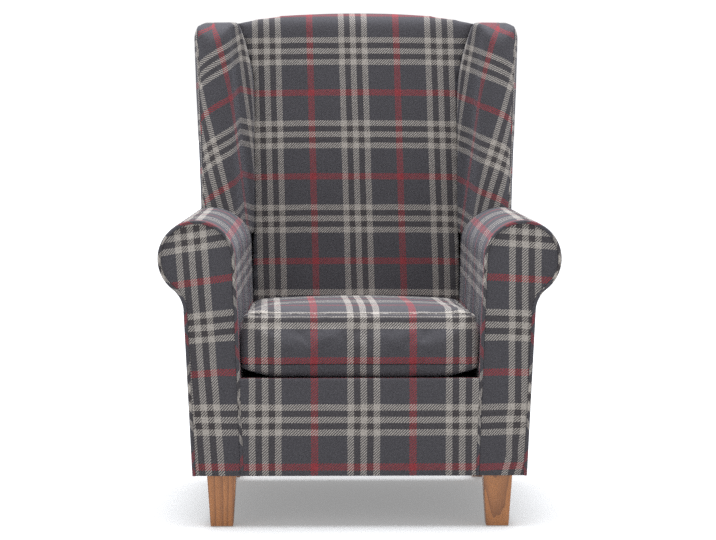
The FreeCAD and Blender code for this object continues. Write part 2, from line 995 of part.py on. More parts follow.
def platform_layer(start, end, low, high):
    layer = box_between((-far, start, low), (far, end, high), platform_frame)
    return middle_solid(layer.cut(arms_room))


felt_top = size("felt_rise") + size("felt_thickness")
platform_rear = rear_line - front_y + size("platform_lap")
add_shape("platform_felt", platform_layer(board_rear, platform_rear, size("felt_rise"), felt_top))
platform_top = felt_top + cover
add_shape("platform_cover", platform_layer(piping - cover, platform_rear, felt_top, platform_top))


# Front border below the cushion, between the two arm facings


def border_layer(front, rear, bottom):
    layer = box_between((-far, front_y + front, bottom), (far, front_y + rear, far))
    below_platform = box_between((-far, -far, -far), (far, far, felt_top), platform_frame)
    return middle_solid(layer.cut(arms_room).common(below_platform))


border_front = piping - cover
add_shape("front_border_cover", border_layer(border_front, border_front + cover, leg_height))
add_shape("front_border_padding", border_layer(border_front + cover, board_rear, frame_base))


# Arm upholstery

arm_floor = side_rail_top + size("skirt_gap")
arm_middle = (size("arm_inner_base") + size("arm_outer_base")) / 2
arm_front = 2 * piping
outer_split = arm_outline(0, 0, leg_height)[3][2]
timber_names = (
    "front_rail",
    "left_side_rail",
    "right_side_rail",
    "left_front_post",
    "right_front_post",
    "left_back_post",
    "right_back_post",
    "rear_rail",
    "lower_back_rail",
    "crest_rail",
    "left_arm_rail",
    "right_arm_rail",
    "left_wing_board",
    "right_wing_board",
)


def clear_of_frame(shape):
    for name in timber_names:
        timber_shape = pieces[name].Shape
        if shape.BoundBox.intersect(timber_shape.BoundBox):
            shape = shape.cut(timber_shape)
    return largest_solid(shape)


def behind_cover(shape):
    return shape.common(ahead_of(inner_thickness))


arm_skin = arm_prism(0, 0, leg_height, arm_front, arm_length).cut(
    arm_prism(cover, cover, leg_height, 0, arm_length + 1)
)
arm_skin = behind_cover(arm_skin)
outer_side = box_between((arm_middle, -far, 0), (far, far, outer_split[1]))
outer_side = outer_side.cut(arm_prism(2 * cover, size("arm_head_radius"), 0, 0, arm_length + 1))
outside_arm = largest_solid(arm_skin.common(outer_side))
inner_low = box_between((0, -far, 0), (arm_middle, far, arm_floor - size("arm_turn_in")))
inside_arm = arm_skin.cut(outer_side).cut(inner_low)
add_pair("inside_arm_cover", clear_of_frame(inside_arm))
add_pair("outside_arm_cover", clear_of_frame(outside_arm))

arm_ring = arm_prism(cover, cover, leg_height, arm_front, arm_length).cut(
    arm_prism(size("arm_padding"), size("side_padding"), 0, 0, arm_length + 1)
)
arm_ring = behind_cover(arm_ring).common(above(arm_floor))
add_pair("arm_foam", clear_of_frame(arm_ring))


def facing_shape():
    outline = arm_outline(2 * piping, 2 * piping, leg_height)
    depth = size("facing_thickness")
    return slab(outline, seen_from_front, front_y + board_front - depth, depth)


def facing_piping_shape():
    outline = arm_outline(piping, piping, leg_height)[:-1]
    wire = outline_wire(outline, seen_from_front)
    wire.translate(Vector(0, front_y + piping, 0))
    start = wire.OrderedVertexes[0].Point
    direction = wire.OrderedEdges[0].tangentAt(wire.OrderedEdges[0].FirstParameter)
    section = Part.Wire([Part.Circle(start, direction, piping).toShape()])
    return wire.makePipeShell([section], True, False)


add_pair("arm_facing", facing_shape())
add_pair("arm_facing_piping", facing_piping_shape())


# Back and wing upholstery

back_skin = back_body(0).cut(back_body(cover))
add_shape("inside_back_cover", clear_of_frame(back_skin))
foam_rear = post_front - size("webbing_thickness")
back_padding = back_body(cover).common(ahead_of(foam_rear))
add_shape("back_foam", clear_of_frame(back_padding))

webbing_low = -size("lower_back_rail_low")
webbing_high = crest_low + size("webbing_lap")
straps = []
strap_count = int(size("strap_count"))
for number in range(strap_count):
    centre = (number - (strap_count - 1) / 2) * size("webbing_spacing")
    half = size("webbing_width") / 2
    straps.append(
        raked_box(centre - half, centre + half, foam_rear, post_front, webbing_low, webbing_high)
    )
add_shape("back_webbing", Part.makeCompound(straps))

wing_outer = wing_body(0, 0)
wing_skin = wing_outer.cut(wing_body(cover, cover))
split_wedge = wing_wedge(0, 3 * cover)
outside_wing = wing_skin.cut(split_wedge)
inside_wing = wing_skin.common(split_wedge)
add_pair("inside_wing_cover", clear_of_frame(inside_wing))
add_pair("outside_wing_cover", largest_solid(outside_wing))
add_pair("wing_foam", clear_of_frame(wing_body(cover, cover)))


# Outside back: one panel over the raked rear of the back, wings, arms and seat frame


def outside_back_panel():
    half = size("wing_rear_offset")
    corner = size("wing_top_rise") - rear_round
    apex = size("back_centre_rise") - rear_round
    low = level_rise(thickness, 0)
    shoulder = (crease_at(size("back_corner_rise")), size("back_corner_rise") - rear_round)
    right = arc_round((half - rear_round, corner - rear_round), rear_round, 0, math.pi / 2)
    left = arc_round((rear_round - half, corner - rear_round), rear_round, math.pi / 2, math.pi)
    left_shoulder = (-shoulder[0], shoulder[1])
    outline = [
        ((half, low), right[0]),
        right,
        (right[2], shoulder),
        (shoulder, (0, apex), left_shoulder),
        (left_shoulder, left[0]),
        left,
        (left[2], (-half, low)),
        ((-half, low), (half, low)),
    ]
    middle = slab(outline, seen_from_front, inner_thickness, cover, raked_frame)
    plane = raked_box(-far, far, inner_thickness, thickness, -far, far)
    right = arm_prism(0, 0, leg_height, 0, arm_length).common(plane)
    trapezoid_half = outer_base_at(rear_leg_y, 0)
    lower_middle = middle.cut(
        box_between((trapezoid_half, -far, -far), (far, far, size("arm_head_height")))
    )
    lower_middle = lower_middle.cut(
        box_between((-far, -far, -far), (-trapezoid_half, far, size("arm_head_height")))
    )
    panel = lower_middle.fuse([right, mirrored(right)]).common(above(leg_height))
    return largest_solid(panel.removeSplitter())


add_shape("outside_back_cover", outside_back_panel())


# Dust cover under the seat frame, cut round the leg plates


def dust_cover():
    margin = size("dust_cover_margin")
    rear_edge = level_point(inner_thickness, frame_base)[0] - size("plate_gap")
    front_edge = front_y + board_front + margin / 2
    outline = polygon(
        (-outer_base_at(front_edge, margin), front_edge),
        (outer_base_at(front_edge, margin), front_edge),
        (outer_base_at(rear_edge, margin), rear_edge),
        (-outer_base_at(rear_edge, margin), rear_edge),
    )
    cloth = slab(outline, seen_from_above, frame_base - cover, cover)
    reach = size("leg_plate_side") / 2 + size("plate_gap")
    for x, y, _ in leg_places:
        cloth = cloth.cut(box_between((x - reach, y - reach, 0), (x + reach, y + reach, far)))
    return largest_solid(cloth)


add_shape("dust_cover", dust_cover())


# Loose seat cushion: crowned foam in a boxed cover, lifting out between the arms

cushion_base = platform_top + clearance
cushion_frame = platform_frame.multiply(Placement(Vector(0, 0, cushion_base), Rotation()))
cushion_rear = -crown - size("cushion_rear_gap")
cushion_reach = size("seat_depth") + size("cushion_overrun")


def under_bend(flat, seam):
    # Arc that leaves the flat underside level and rises to a seam
    across, rise = seam[0] - flat[0], seam[1] - flat[1]
    radius = (across**2 + rise**2) / (2 * rise)
    half_turn = math.asin(abs(across) / radius) / 2
    shift = math.copysign(radius * math.sin(half_turn), across)
    middle = (flat[0] + shift, flat[1] + radius * (1 - math.cos(half_turn)))
    return (flat, middle, seam)


def cushion_side_outline(inset):
    rise = size("cushion_rise") - inset
    seam = size("cushion_low_seam")
    under = size("cushion_under_round")
    front = piping - cover + inset
    middle = size("seat_depth") / 2
    rear = cushion_reach
    rear_rise = rise - size("cushion_rear_fall")
    bow = size("cushion_bow")
    return [
        under_bend((under, inset), (front, seam)),
        ((front, seam), (front - bow, (seam + rise) / 2), (front + bow, rise)),
        ((front + bow, rise), (middle, rise + size("cushion_crown")), (rear, rear_rise)),
        ((rear, rear_rise), (rear, inset)),
        ((rear, inset), (under, inset)),
    ]


def cushion_front_outline(inset):
    rise = size("cushion_rise") - inset
    seam = size("cushion_low_seam")
    half = size("cushion_half_width") - inset
    under = size("cushion_under_round")
    low_half = half - size("cushion_bow")
    waist = (half - size("cushion_bow") / 2 - size("cushion_side_draw"), (seam + rise) / 2)
    return [
        under_bend((half - under, inset), (low_half, seam)),
        ((low_half, seam), waist, (half, rise)),
        ((half, rise), (0, rise + size("cushion_crown")), (-half, rise)),
        ((-half, rise), (-waist[0], waist[1]), (-low_half, seam)),
        tuple(reversed(under_bend((under - half, inset), (-low_half, seam)))),
        ((under - half, inset), (half - under, inset)),
    ]


def cushion_plan_outline(inset):
    half = size("cushion_half_width") - inset
    bend = size("cushion_corner_round")
    front = piping - cover - size("cushion_bow") + inset
    rear = cushion_reach
    draw = size("cushion_side_draw")
    left = arc_round((bend - half, front + bend), bend, math.pi, 1.5 * math.pi)
    right = arc_round((half - bend, front + bend), bend, 1.5 * math.pi, 2 * math.pi)
    middle = (front + rear) / 2
    return [
        (left[2], right[0]),
        right,
        (right[2], (half - draw, middle), (half, rear)),
        ((half, rear), (-half, rear)),
        ((-half, rear), (draw - half, middle), left[0]),
        left,
    ]


def cushion_body(inset):
    side = slab(cushion_side_outline(inset), seen_from_side, -far, 2 * far, cushion_frame)
    front = slab(cushion_front_outline(inset), seen_from_front, -far, 2 * far, cushion_frame)
    plan = slab(cushion_plan_outline(inset), seen_from_above, -far, 2 * far, cushion_frame)
    body = side.common(front).common(plan).cut(both_arms(size("cushion_side_gap") + inset))
    return largest_solid(body.common(ahead_of(cushion_rear - inset)))


cushion_filling = cushion_body(cover)
add_shape("seat_cushion_foam", cushion_filling)
add_shape("seat_cushion_cover", cushion_body(0).cut(cushion_filling))

zip_half = size("zip_length") / 2
zip_centre = -size("zip_drop")
zip_reach = size("zip_width") / 2
zip_rear = cushion_rear + size("zip_thickness")
add_shape(
    "cushion_zip_tape",
    raked_box(-zip_half, zip_half, cushion_rear, zip_rear, zip_centre - zip_reach, zip_centre + zip_reach),
)
slider_start = size("slider_offset") - zip_half
slider_reach = size("slider_width") / 2
slider_front = zip_rear + clearance
add_shape(
    "cushion_zip_slider",
    raked_box(
        slider_start,
        slider_start + size("slider_length"),
        slider_front,
        slider_front + size("slider_thickness"),
        zip_centre - slider_reach,
        zip_centre + slider_reach,
    ),
)
doc.recompute()

# Every object has recomputed, and every piece is a sound solid, before anything is written

for item in doc.Objects:
    if "Invalid" in item.State or "Error" in item.State:
        raise ValueError(f"{item.Label} failed: {item.State}")
for label, piece in pieces.items():
    if piece.Shape.isNull() or not piece.Shape.isValid() or not piece.Shape.Solids:
        raise ValueError(f"{label} has no sound solid")
for label, piece in pieces.items():
    piece.Shape.exportStep(f"parts/{label}.step")
print(len(pieces), "pieces written")
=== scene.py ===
import math

import bpy
import numpy as np
from mathutils import Matrix, Vector, noise


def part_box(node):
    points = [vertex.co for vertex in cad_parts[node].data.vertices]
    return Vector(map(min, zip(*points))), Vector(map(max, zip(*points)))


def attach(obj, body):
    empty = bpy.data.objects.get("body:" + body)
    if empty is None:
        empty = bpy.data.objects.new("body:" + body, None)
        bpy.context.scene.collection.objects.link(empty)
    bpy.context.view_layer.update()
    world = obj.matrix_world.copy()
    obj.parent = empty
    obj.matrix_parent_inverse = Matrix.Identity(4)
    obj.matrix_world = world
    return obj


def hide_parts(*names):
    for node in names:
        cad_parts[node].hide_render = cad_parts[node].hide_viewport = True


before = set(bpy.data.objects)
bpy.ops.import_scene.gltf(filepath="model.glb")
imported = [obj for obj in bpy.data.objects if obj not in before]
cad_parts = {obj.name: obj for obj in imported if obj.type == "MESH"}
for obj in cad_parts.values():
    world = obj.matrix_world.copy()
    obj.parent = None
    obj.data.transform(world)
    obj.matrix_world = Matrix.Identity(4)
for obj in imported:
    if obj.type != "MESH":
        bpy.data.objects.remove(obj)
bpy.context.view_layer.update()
scene = bpy.context.scene
scene.view_settings.view_transform = "Standard"
scene.cycles.use_denoising = False  # a denoiser wipes out the weave

# The chair's own places, in millimetres as on the drawing
chair = {
    "frontY": -390.34,
    "seatDepth": 520,
    "seatHeight": 430,
    "rake": 12,
    "railTop": 284,
    "slope": 2.5,
    "base": 104,
    "toeIn": 1.5,
    "backThickness": 140,
}
mm = 0.001
toeIn = math.tan(math.radians(chair["toeIn"]))
raked = Matrix.Translation((0, (chair["frontY"] + chair["seatDepth"]) * mm, chair["seatHeight"] * mm))
raked = raked @ Matrix.Rotation(math.radians(-chair["rake"]), 4, "X")
seatPlane = Matrix.Translation((0, chair["frontY"] * mm, chair["railTop"] * mm))
seatPlane = seatPlane @ Matrix.Rotation(math.radians(-chair["slope"]), 4, "X")
upright = Matrix.Translation((0, chair["frontY"] * mm, 0))


def at(space, x, y, z):
    return space @ Vector((x * mm, y * mm, z * mm))


def inSpace(space, co):
    # places in millimetres, measured in one of the spaces above
    turn = np.array(space.inverted(), float)
    return (co @ turn[:3, :3].T + turn[:3, 3]) / mm


# small helpers for modelling


def clearSelection():
    if bpy.context.object and bpy.context.object.mode != "OBJECT":
        bpy.ops.object.mode_set(mode="OBJECT")
    bpy.ops.object.select_all(action="DESELECT")


def pick(piece):
    clearSelection()
    piece.select_set(True)
    bpy.context.view_layer.objects.active = piece


def openMesh(piece):
    pick(piece)
    bpy.ops.object.mode_set(mode="EDIT")
    bpy.ops.mesh.select_all(action="SELECT")


def closeMesh():
    bpy.ops.object.mode_set(mode="OBJECT")


def applyModifier(piece, kind, **settings):
    pick(piece)
    modifier = piece.modifiers.new(kind.title(), kind)
    for key, value in settings.items():
        setattr(modifier, key, value)
    bpy.ops.object.modifier_apply(modifier=modifier.name)


def tidyNormals(piece):
    openMesh(piece)
    bpy.ops.mesh.remove_doubles(threshold=0.05 * mm)
    bpy.ops.mesh.normals_make_consistent(inside=False)
    closeMesh()


def smoothShade(piece, angle=None):
    pick(piece)
    if angle is None:
        bpy.ops.object.shade_smooth()
    else:
        bpy.ops.object.shade_smooth_by_angle(angle=math.radians(angle))


def removePiece(piece):
    clearSelection()
    piece.select_set(True)
    bpy.ops.object.delete()


def combine(piece, tool, how):
    applyModifier(piece, "BOOLEAN", object=tool, operation=how, solver="EXACT")
    removePiece(tool)


def joinPieces(pieces, name):
    clearSelection()
    for piece in pieces:
        piece.select_set(True)
    bpy.context.view_layer.objects.active = pieces[0]
    bpy.ops.object.join()
    joined = bpy.context.object
    joined.name = name
    joined.data.name = name
    return joined


def getPoints(piece):
    co = np.zeros(len(piece.data.vertices) * 3)
    piece.data.vertices.foreach_get("co", co)
    return co.reshape(-1, 3)


def setPoints(piece, co):
    piece.data.vertices.foreach_set("co", np.asarray(co, np.float32).ravel())
    piece.data.update()


def mirrorPiece(piece, name):
    # the other hand of a finished piece
    pick(piece)
    bpy.ops.object.duplicate()
    other = bpy.context.object
    other.name = name
    other.data.name = name
    co = getPoints(other)
    co[:, 0] *= -1
    setPoints(other, co)
    openMesh(other)
    bpy.ops.mesh.flip_normals()
    closeMesh()
    return other


def wrap(name, count, rows, place):
    # a closed tube: count places round it, rows lengths along it, ends filled
    clearSelection()
    bpy.ops.mesh.primitive_cylinder_add(vertices=count, radius=1, depth=2, end_fill_type="NGON")
    piece = bpy.context.object
    piece.name = name
    piece.data.name = name
    if rows > 1:
        bpy.ops.object.mode_set(mode="EDIT")
        bpy.ops.mesh.select_all(action="DESELECT")
        bpy.ops.object.mode_set(mode="OBJECT")
        for edge in piece.data.edges:
            a, b = (piece.data.vertices[i].co for i in edge.vertices)
            edge.select = abs(a.z - b.z) > 1
        bpy.ops.object.mode_set(mode="EDIT")
        bpy.ops.mesh.subdivide(number_cuts=rows - 1)
        bpy.ops.object.mode_set(mode="OBJECT")
    for vertex in piece.data.vertices:
        turn = math.atan2(vertex.co.y, vertex.co.x) / (2 * math.pi)
        i = round(turn * count) % count
        j = round((vertex.co.z + 1) / 2 * rows)
        vertex.co = place(i, j)
    tidyNormals(piece)
    return piece


def sheetOf(name, columns, rows, place):
    # a grid laid over a surface; place takes two shares from 0 to 1
    clearSelection()
    bpy.ops.mesh.primitive_grid_add(x_subdivisions=columns, y_subdivisions=rows, size=2)
    piece = bpy.context.object
    piece.name = name
    piece.data.name = name
    for vertex in piece.data.vertices:
        vertex.co = place((vertex.co.x + 1) / 2, (vertex.co.y + 1) / 2)
    return piece


def flatShape(name, corners, space, swap, depth, run):
    # an outline in one of the spaces, given a thickness; swap puts (a, b, depth) in order
    clearSelection()
    bpy.ops.mesh.primitive_circle_add(vertices=len(corners), radius=1, fill_type="NGON")
    piece = bpy.context.object
    piece.name = name
    piece.data.name = name
    for vertex, (a, b) in zip(piece.data.vertices, corners):
        vertex.co = at(space, *swap(a, b, depth))
    step = at(space, *swap(0, 0, run)) - at(space, *swap(0, 0, 0))
    openMesh(piece)
    bpy.ops.mesh.extrude_region_move(TRANSFORM_OT_translate={"value": step})
    closeMesh()
    tidyNormals(piece)
    return piece


def fromFront(a, b, depth):
    return (a, depth, b)


def fromSide(a, b, depth):
    return (depth, a, b)


def fromAbove(a, b, depth):
    return (a, b, depth)


def arcPoints(centre, radius, start, end, steps):
    angles = [start + (end - start) * k / steps for k in range(steps + 1)]
    return [(centre[0] + radius * math.cos(a), centre[1] + radius * math.sin(a)) for a in angles]


def evenly(corners, step):
    # extra points along the straight runs of a closed outline
    points = []
    for a, b in zip(corners, corners[1:] + corners[:1]):
        count = max(1, round(math.dist(a, b) / step))
        run, climb = b[0] - a[0], b[1] - a[1]
        points += [(a[0] + run * k / count, a[1] + climb * k / count) for k in range(count)]
    return points


def soften(piece, voxel, passes):
    applyModifier(piece, "REMESH", mode="VOXEL", voxel_size=voxel * mm)
    applyModifier(piece, "SMOOTH", factor=0.5, iterations=passes)


def ripple(piece, depth, spread):
    # the slight unevenness of stuffed cloth
    co = getPoints(piece)
    normals = np.zeros(len(co) * 3)
    piece.data.vertices.foreach_get("normal", normals)
    shifts = [noise.noise(Vector(place)) + 0.5 * noise.noise(Vector(place) * 2.3) for place in co * spread]
    setPoints(piece, co + normals.reshape(-1, 3) * np.array(shifts)[:, None] * depth * mm)


def weaveMap(piece, pattern):
    # puts the cloth's own directions on the piece: metres across and along the stripes
    mesh = piece.data
    while mesh.uv_layers:
        mesh.uv_layers.remove(mesh.uv_layers[0])
    layer = mesh.uv_layers.new(name="weave")
    corners = np.zeros(len(mesh.loops), int)
    mesh.loops.foreach_get("vertex_index", corners)
    normals = np.zeros(len(mesh.polygons) * 3)
    mesh.polygons.foreach_get("normal", normals)
    totals = np.zeros(len(mesh.polygons), int)
    mesh.polygons.foreach_get("loop_total", totals)
    facing = np.repeat(normals.reshape(-1, 3), totals, axis=0)
    across, along = pattern(getPoints(piece)[corners], facing)
    layer.data.foreach_set("uv", np.stack([across, along], 1).astype(np.float32).ravel() * mm)


def dress(piece, material, body, nodes=()):
    piece.data.materials.clear()
    piece.data.materials.append(material)
    for polygon in piece.data.polygons:
        polygon.material_index = 0
    clearSelection()
    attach(piece, body)
    if nodes:
        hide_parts(*nodes)
    return piece


# materials

cloth = {
    "acrossRepeat": 191,
    "alongRepeat": 187,
    "stripeStep": 25.2,
    "stripeWidth": 12.8,
    "redWidth": 13.5,
    "yarn": 1.36,
    "ground": (0.034, 0.0325, 0.038),
    "cream": (0.31, 0.283, 0.252),
    "gap": (0.025, 0.020, 0.020),
    "red": (0.21, 0.010, 0.016),
    "sheen": 0.12,
    "roughness": 0.88,
}


# where the check falls on each panel: shifts in millimetres, drifts as shares
matching = {
    "middle": cloth["acrossRepeat"] / 2,
    "back": {"centre": 7.5, "rise": 245, "drift": 0.0258, "driftFrom": 5},
    "border": {"centre": 7.4, "rise": 121.5, "stretch": 1.015},
    "cushion": {"centre": 7.4, "rise": 331.5, "stretch": 1.02, "drift": 0.027},
    "arm": {"turn": 74, "depth": 16, "drift": 0.02},
    "outsideArm": {"depth": 16, "rise": 308},
    "facing": {
        "rise": 308.5,
        "left": {"centre": 298, "lean": 0.0724, "foot": 115.7, "seam": 262},
        "right": {"centre": 324, "kink": 0.28, "kinkFrom": 155, "seam": 270},
    },
    "wing": {
        "left": {"red": 46, "lean": 0.25, "level": 180, "fall": 0.6, "fallFrom": 55, "shift": 0},
        "right": {"red": 36, "lean": 0.29, "level": 205, "fall": 0.42, "fallFrom": 0, "shift": 4},
        "crown": 196,
        "crownRise": 700,
        "behind": 20,
        "outside": 20,
    },
}


def newGroup(name, inputs, outputs):
    group = bpy.data.node_groups.new(name, "ShaderNodeTree")
    for label, kind, value in inputs:
        socket = group.interface.new_socket(label, in_out="INPUT", socket_type=kind)
        if value is not None:
            socket.default_value = value
    for label, kind in outputs:
        group.interface.new_socket(label, in_out="OUTPUT", socket_type=kind)
    return group


class Bench:
    # lays nodes out in a tree from left to right
    def __init__(self, tree):
        self.tree = tree
        self.place = 0

    def add(self, kind, **settings):
        node = self.tree.nodes.new(kind)
        self.place += 1
        node.location = (180 * (self.place % 12), -220 * (self.place // 12))
        for key, value in settings.items():
            setattr(node, key, value)
        return node

    def link(self, a, b):
        self.tree.links.new(a, b)

    def feed(self, socket, value):
        if isinstance(value, bpy.types.NodeSocket):
            self.link(value, socket)
        elif value is not None:
            socket.default_value = value

    def maths(self, operation, a, b=None, c=None, clamp=False):
        node = self.add("ShaderNodeMath", operation=operation, use_clamp=clamp)
        for socket, value in zip(node.inputs, (a, b, c)):
            self.feed(socket, value)
        return node.outputs[0]

    def mix(self, share, a, b, kind="MIX"):
        node = self.add("ShaderNodeMix", data_type="RGBA", blend_type=kind)
        self.feed(node.inputs[0], share)
        self.feed(node.inputs[6], a)
        self.feed(node.inputs[7], b)
        return node.outputs[2]

    def ramp(self, value, stops, smooth="LINEAR"):
        node = self.add("ShaderNodeValToRGB")
        node.color_ramp.interpolation = smooth
        elements = node.color_ramp.elements
        elements[0].position, elements[0].color = stops[0][0], stops[0][1]
        elements[1].position, elements[1].color = stops[-1][0], stops[-1][1]
        for position, colour in stops[1:-1]:
            element = elements.new(position)
            element.color = colour
        self.feed(node.inputs[0], value)
        return node.outputs[0]

    def noise(self, vector, scale, detail=2, roughness=0.5):
        node = self.add("ShaderNodeTexNoise")
        self.feed(node.inputs["Vector"], vector)
        node.inputs["Scale"].default_value = scale
        node.inputs["Detail"].default_value = detail
        node.inputs["Roughness"].default_value = roughness
        return node.outputs["Fac"]


def rgba(colour):
    return (*colour, 1)


def plaidGroup():
    # one bar of the check: ground, three pale stripes with dark between them, and a red line
    group = newGroup(
        "plaidBar",
        [("Distance", "NodeSocketFloat", 0), ("Repeat", "NodeSocketFloat", 0.19)],
        [("Color", "NodeSocketColor")],
    )
    bench = Bench(group)
    source = bench.add("NodeGroupInput")
    share = bench.maths("FLOORED_MODULO", source.outputs["Distance"], source.outputs["Repeat"])
    share = bench.maths("DIVIDE", share, source.outputs["Repeat"])
    repeat = cloth["acrossRepeat"]
    middle = repeat / 2
    step, half = cloth["stripeStep"], cloth["stripeWidth"] / 2
    red = cloth["redWidth"] / 2
    edges = [(0, "red"), (red, "ground")]
    for centre in (middle - step, middle, middle + step):
        edges += [(centre - half, "cream"), (centre + half, "gap")]
    edges[-1] = (edges[-1][0], "ground")
    edges += [(repeat - red, "red")]
    stops = [(place / repeat, rgba(cloth[name])) for place, name in edges]
    colour = bench.ramp(share, stops, "CONSTANT")
    sink = bench.add("NodeGroupOutput")
    bench.link(colour, sink.inputs["Color"])
    return group


def twillGroup():
    # warp and weft bars seen through a slanting two and two weave
    group = newGroup(
        "twillCloth",
        [("Vector", "NodeSocketVector", None), ("Wander", "NodeSocketFloat", 0.0012)],
        [("Color", "NodeSocketColor"), ("Height", "NodeSocketFloat")],
    )
    bench = Bench(group)
    source = bench.add("NodeGroupInput")
    vector = source.outputs["Vector"]
    split = bench.add("ShaderNodeSeparateXYZ")
    bench.link(vector, split.inputs[0])
    wanderA = bench.maths("SUBTRACT", bench.noise(vector, 14, 2), 0.5)
    wanderB = bench.maths("SUBTRACT", bench.noise(vector, 19, 2), 0.5)
    across = bench.maths("MULTIPLY_ADD", wanderA, source.outputs["Wander"], split.outputs[0])
    along = bench.maths("MULTIPLY_ADD", wanderB, source.outputs["Wander"], split.outputs[1])
    bars = []
    for distance, repeat in ((across, cloth["acrossRepeat"]), (along, cloth["alongRepeat"])):
        bar = bench.add("ShaderNodeGroup", node_tree=bpy.data.node_groups["plaidBar"])
        bench.link(distance, bar.inputs["Distance"])
        bar.inputs["Repeat"].default_value = repeat * mm
        bars.append(bar.outputs["Color"])
    pitch = 4 * cloth["yarn"] * mm
    slant = bench.maths("SUBTRACT", across, along)
    slant = bench.maths("MULTIPLY", slant, 2 * math.pi / pitch)
    wave = bench.maths("SINE", slant)
    rough = bench.maths("SUBTRACT", bench.noise(vector, 900, 1), 0.5)
    wave = bench.maths("MULTIPLY_ADD", rough, 1.1, wave)
    warpOver = bench.maths("MULTIPLY_ADD", wave, 2.6, 0.5, clamp=True)
    colour = bench.mix(warpOver, bars[1], bars[0])
    # each yarn is a little lighter or darker, and fluff softens the whole
    heather = bench.noise(vector, 430, 3, 0.7)
    cloud = bench.noise(vector, 26, 3, 0.6)
    shade = bench.maths("MULTIPLY_ADD", heather, 2.6, -0.3)
    shade = bench.maths("MULTIPLY_ADD", cloud, 0.24, bench.maths("SUBTRACT", shade, 0.12))
    grey = bench.add("ShaderNodeCombineColor")
    for socket in grey.inputs:
        bench.link(shade, socket)
    colour = bench.mix(1.0, colour, grey.outputs[0], "MULTIPLY")
    tuft = bench.maths("MULTIPLY", bench.noise(vector, 240, 2), 0.10)
    colour = bench.mix(tuft, colour, rgba((0.42, 0.40, 0.42)))
    # roundness of the yarns for the bump
    yarn = math.pi / (cloth["yarn"] * mm)
    ridges = []
    for distance in (across, along):
        ridge = bench.maths("SINE", bench.maths("MULTIPLY", distance, yarn))
        ridges.append(bench.maths("ABSOLUTE", ridge))
    mixed = bench.add("ShaderNodeMix", data_type="FLOAT")
    bench.link(warpOver, mixed.inputs[0])
    bench.link(ridges[1], mixed.inputs[2])
    bench.link(ridges[0], mixed.inputs[3])
    height = bench.maths("MULTIPLY_ADD", bench.maths("ABSOLUTE", wave), 0.6, mixed.outputs[0])
    height = bench.maths("MULTIPLY_ADD", heather, 0.5, height)
    sink = bench.add("NodeGroupOutput")
    bench.link(colour, sink.inputs["Color"])
    bench.link(height, sink.inputs["Height"])
    return group


def newMaterial(name, **constants):
    material = bpy.data.materials.new(name)
    material.use_nodes = True
    shader = material.node_tree.nodes["Principled BSDF"]
    for key, value in constants.items():
        shader.inputs[key.replace("_", " ")].default_value = value
    return material, Bench(material.node_tree), shader


def bumpInto(bench, shader, height, strength, distance):
    bump = bench.add("ShaderNodeBump")
    bump.inputs["Strength"].default_value = strength
    bump.inputs["Distance"].default_value = distance * mm
    bench.link(height, bump.inputs["Height"])
    bench.link(bump.outputs[0], shader.inputs["Normal"])


def woolMaterial(name, bump=0.55, wander=0.0024):
    material, bench, shader = newMaterial(
        name,
        Roughness=cloth["roughness"],
        Sheen_Weight=cloth["sheen"],
        Sheen_Roughness=0.45,
        Sheen_Tint=(0.86, 0.87, 1.0, 1),
        Specular_IOR_Level=0.25,
    )
    mapNode = bench.add("ShaderNodeUVMap", uv_map="weave")
    twill = bench.add("ShaderNodeGroup", node_tree=bpy.data.node_groups["twillCloth"])
    bench.link(mapNode.outputs[0], twill.inputs["Vector"])
    twill.inputs["Wander"].default_value = wander
    bench.link(twill.outputs["Color"], shader.inputs["Base Color"])
    bumpInto(bench, shader, twill.outputs["Height"], bump, 0.5)
    return material


plaidGroup()
twillGroup()
wool = woolMaterial("tartanWool")
pipingWool = woolMaterial("tartanPiping", 0.4)
print("cloth materials ready")

oakFinish = {
    "pale": (0.41, 0.155, 0.040),
    "deep": (0.13, 0.040, 0.009),
    "pore": (0.07, 0.022, 0.006),
    "ringStep": 7,
    "roughness": 0.42,
}


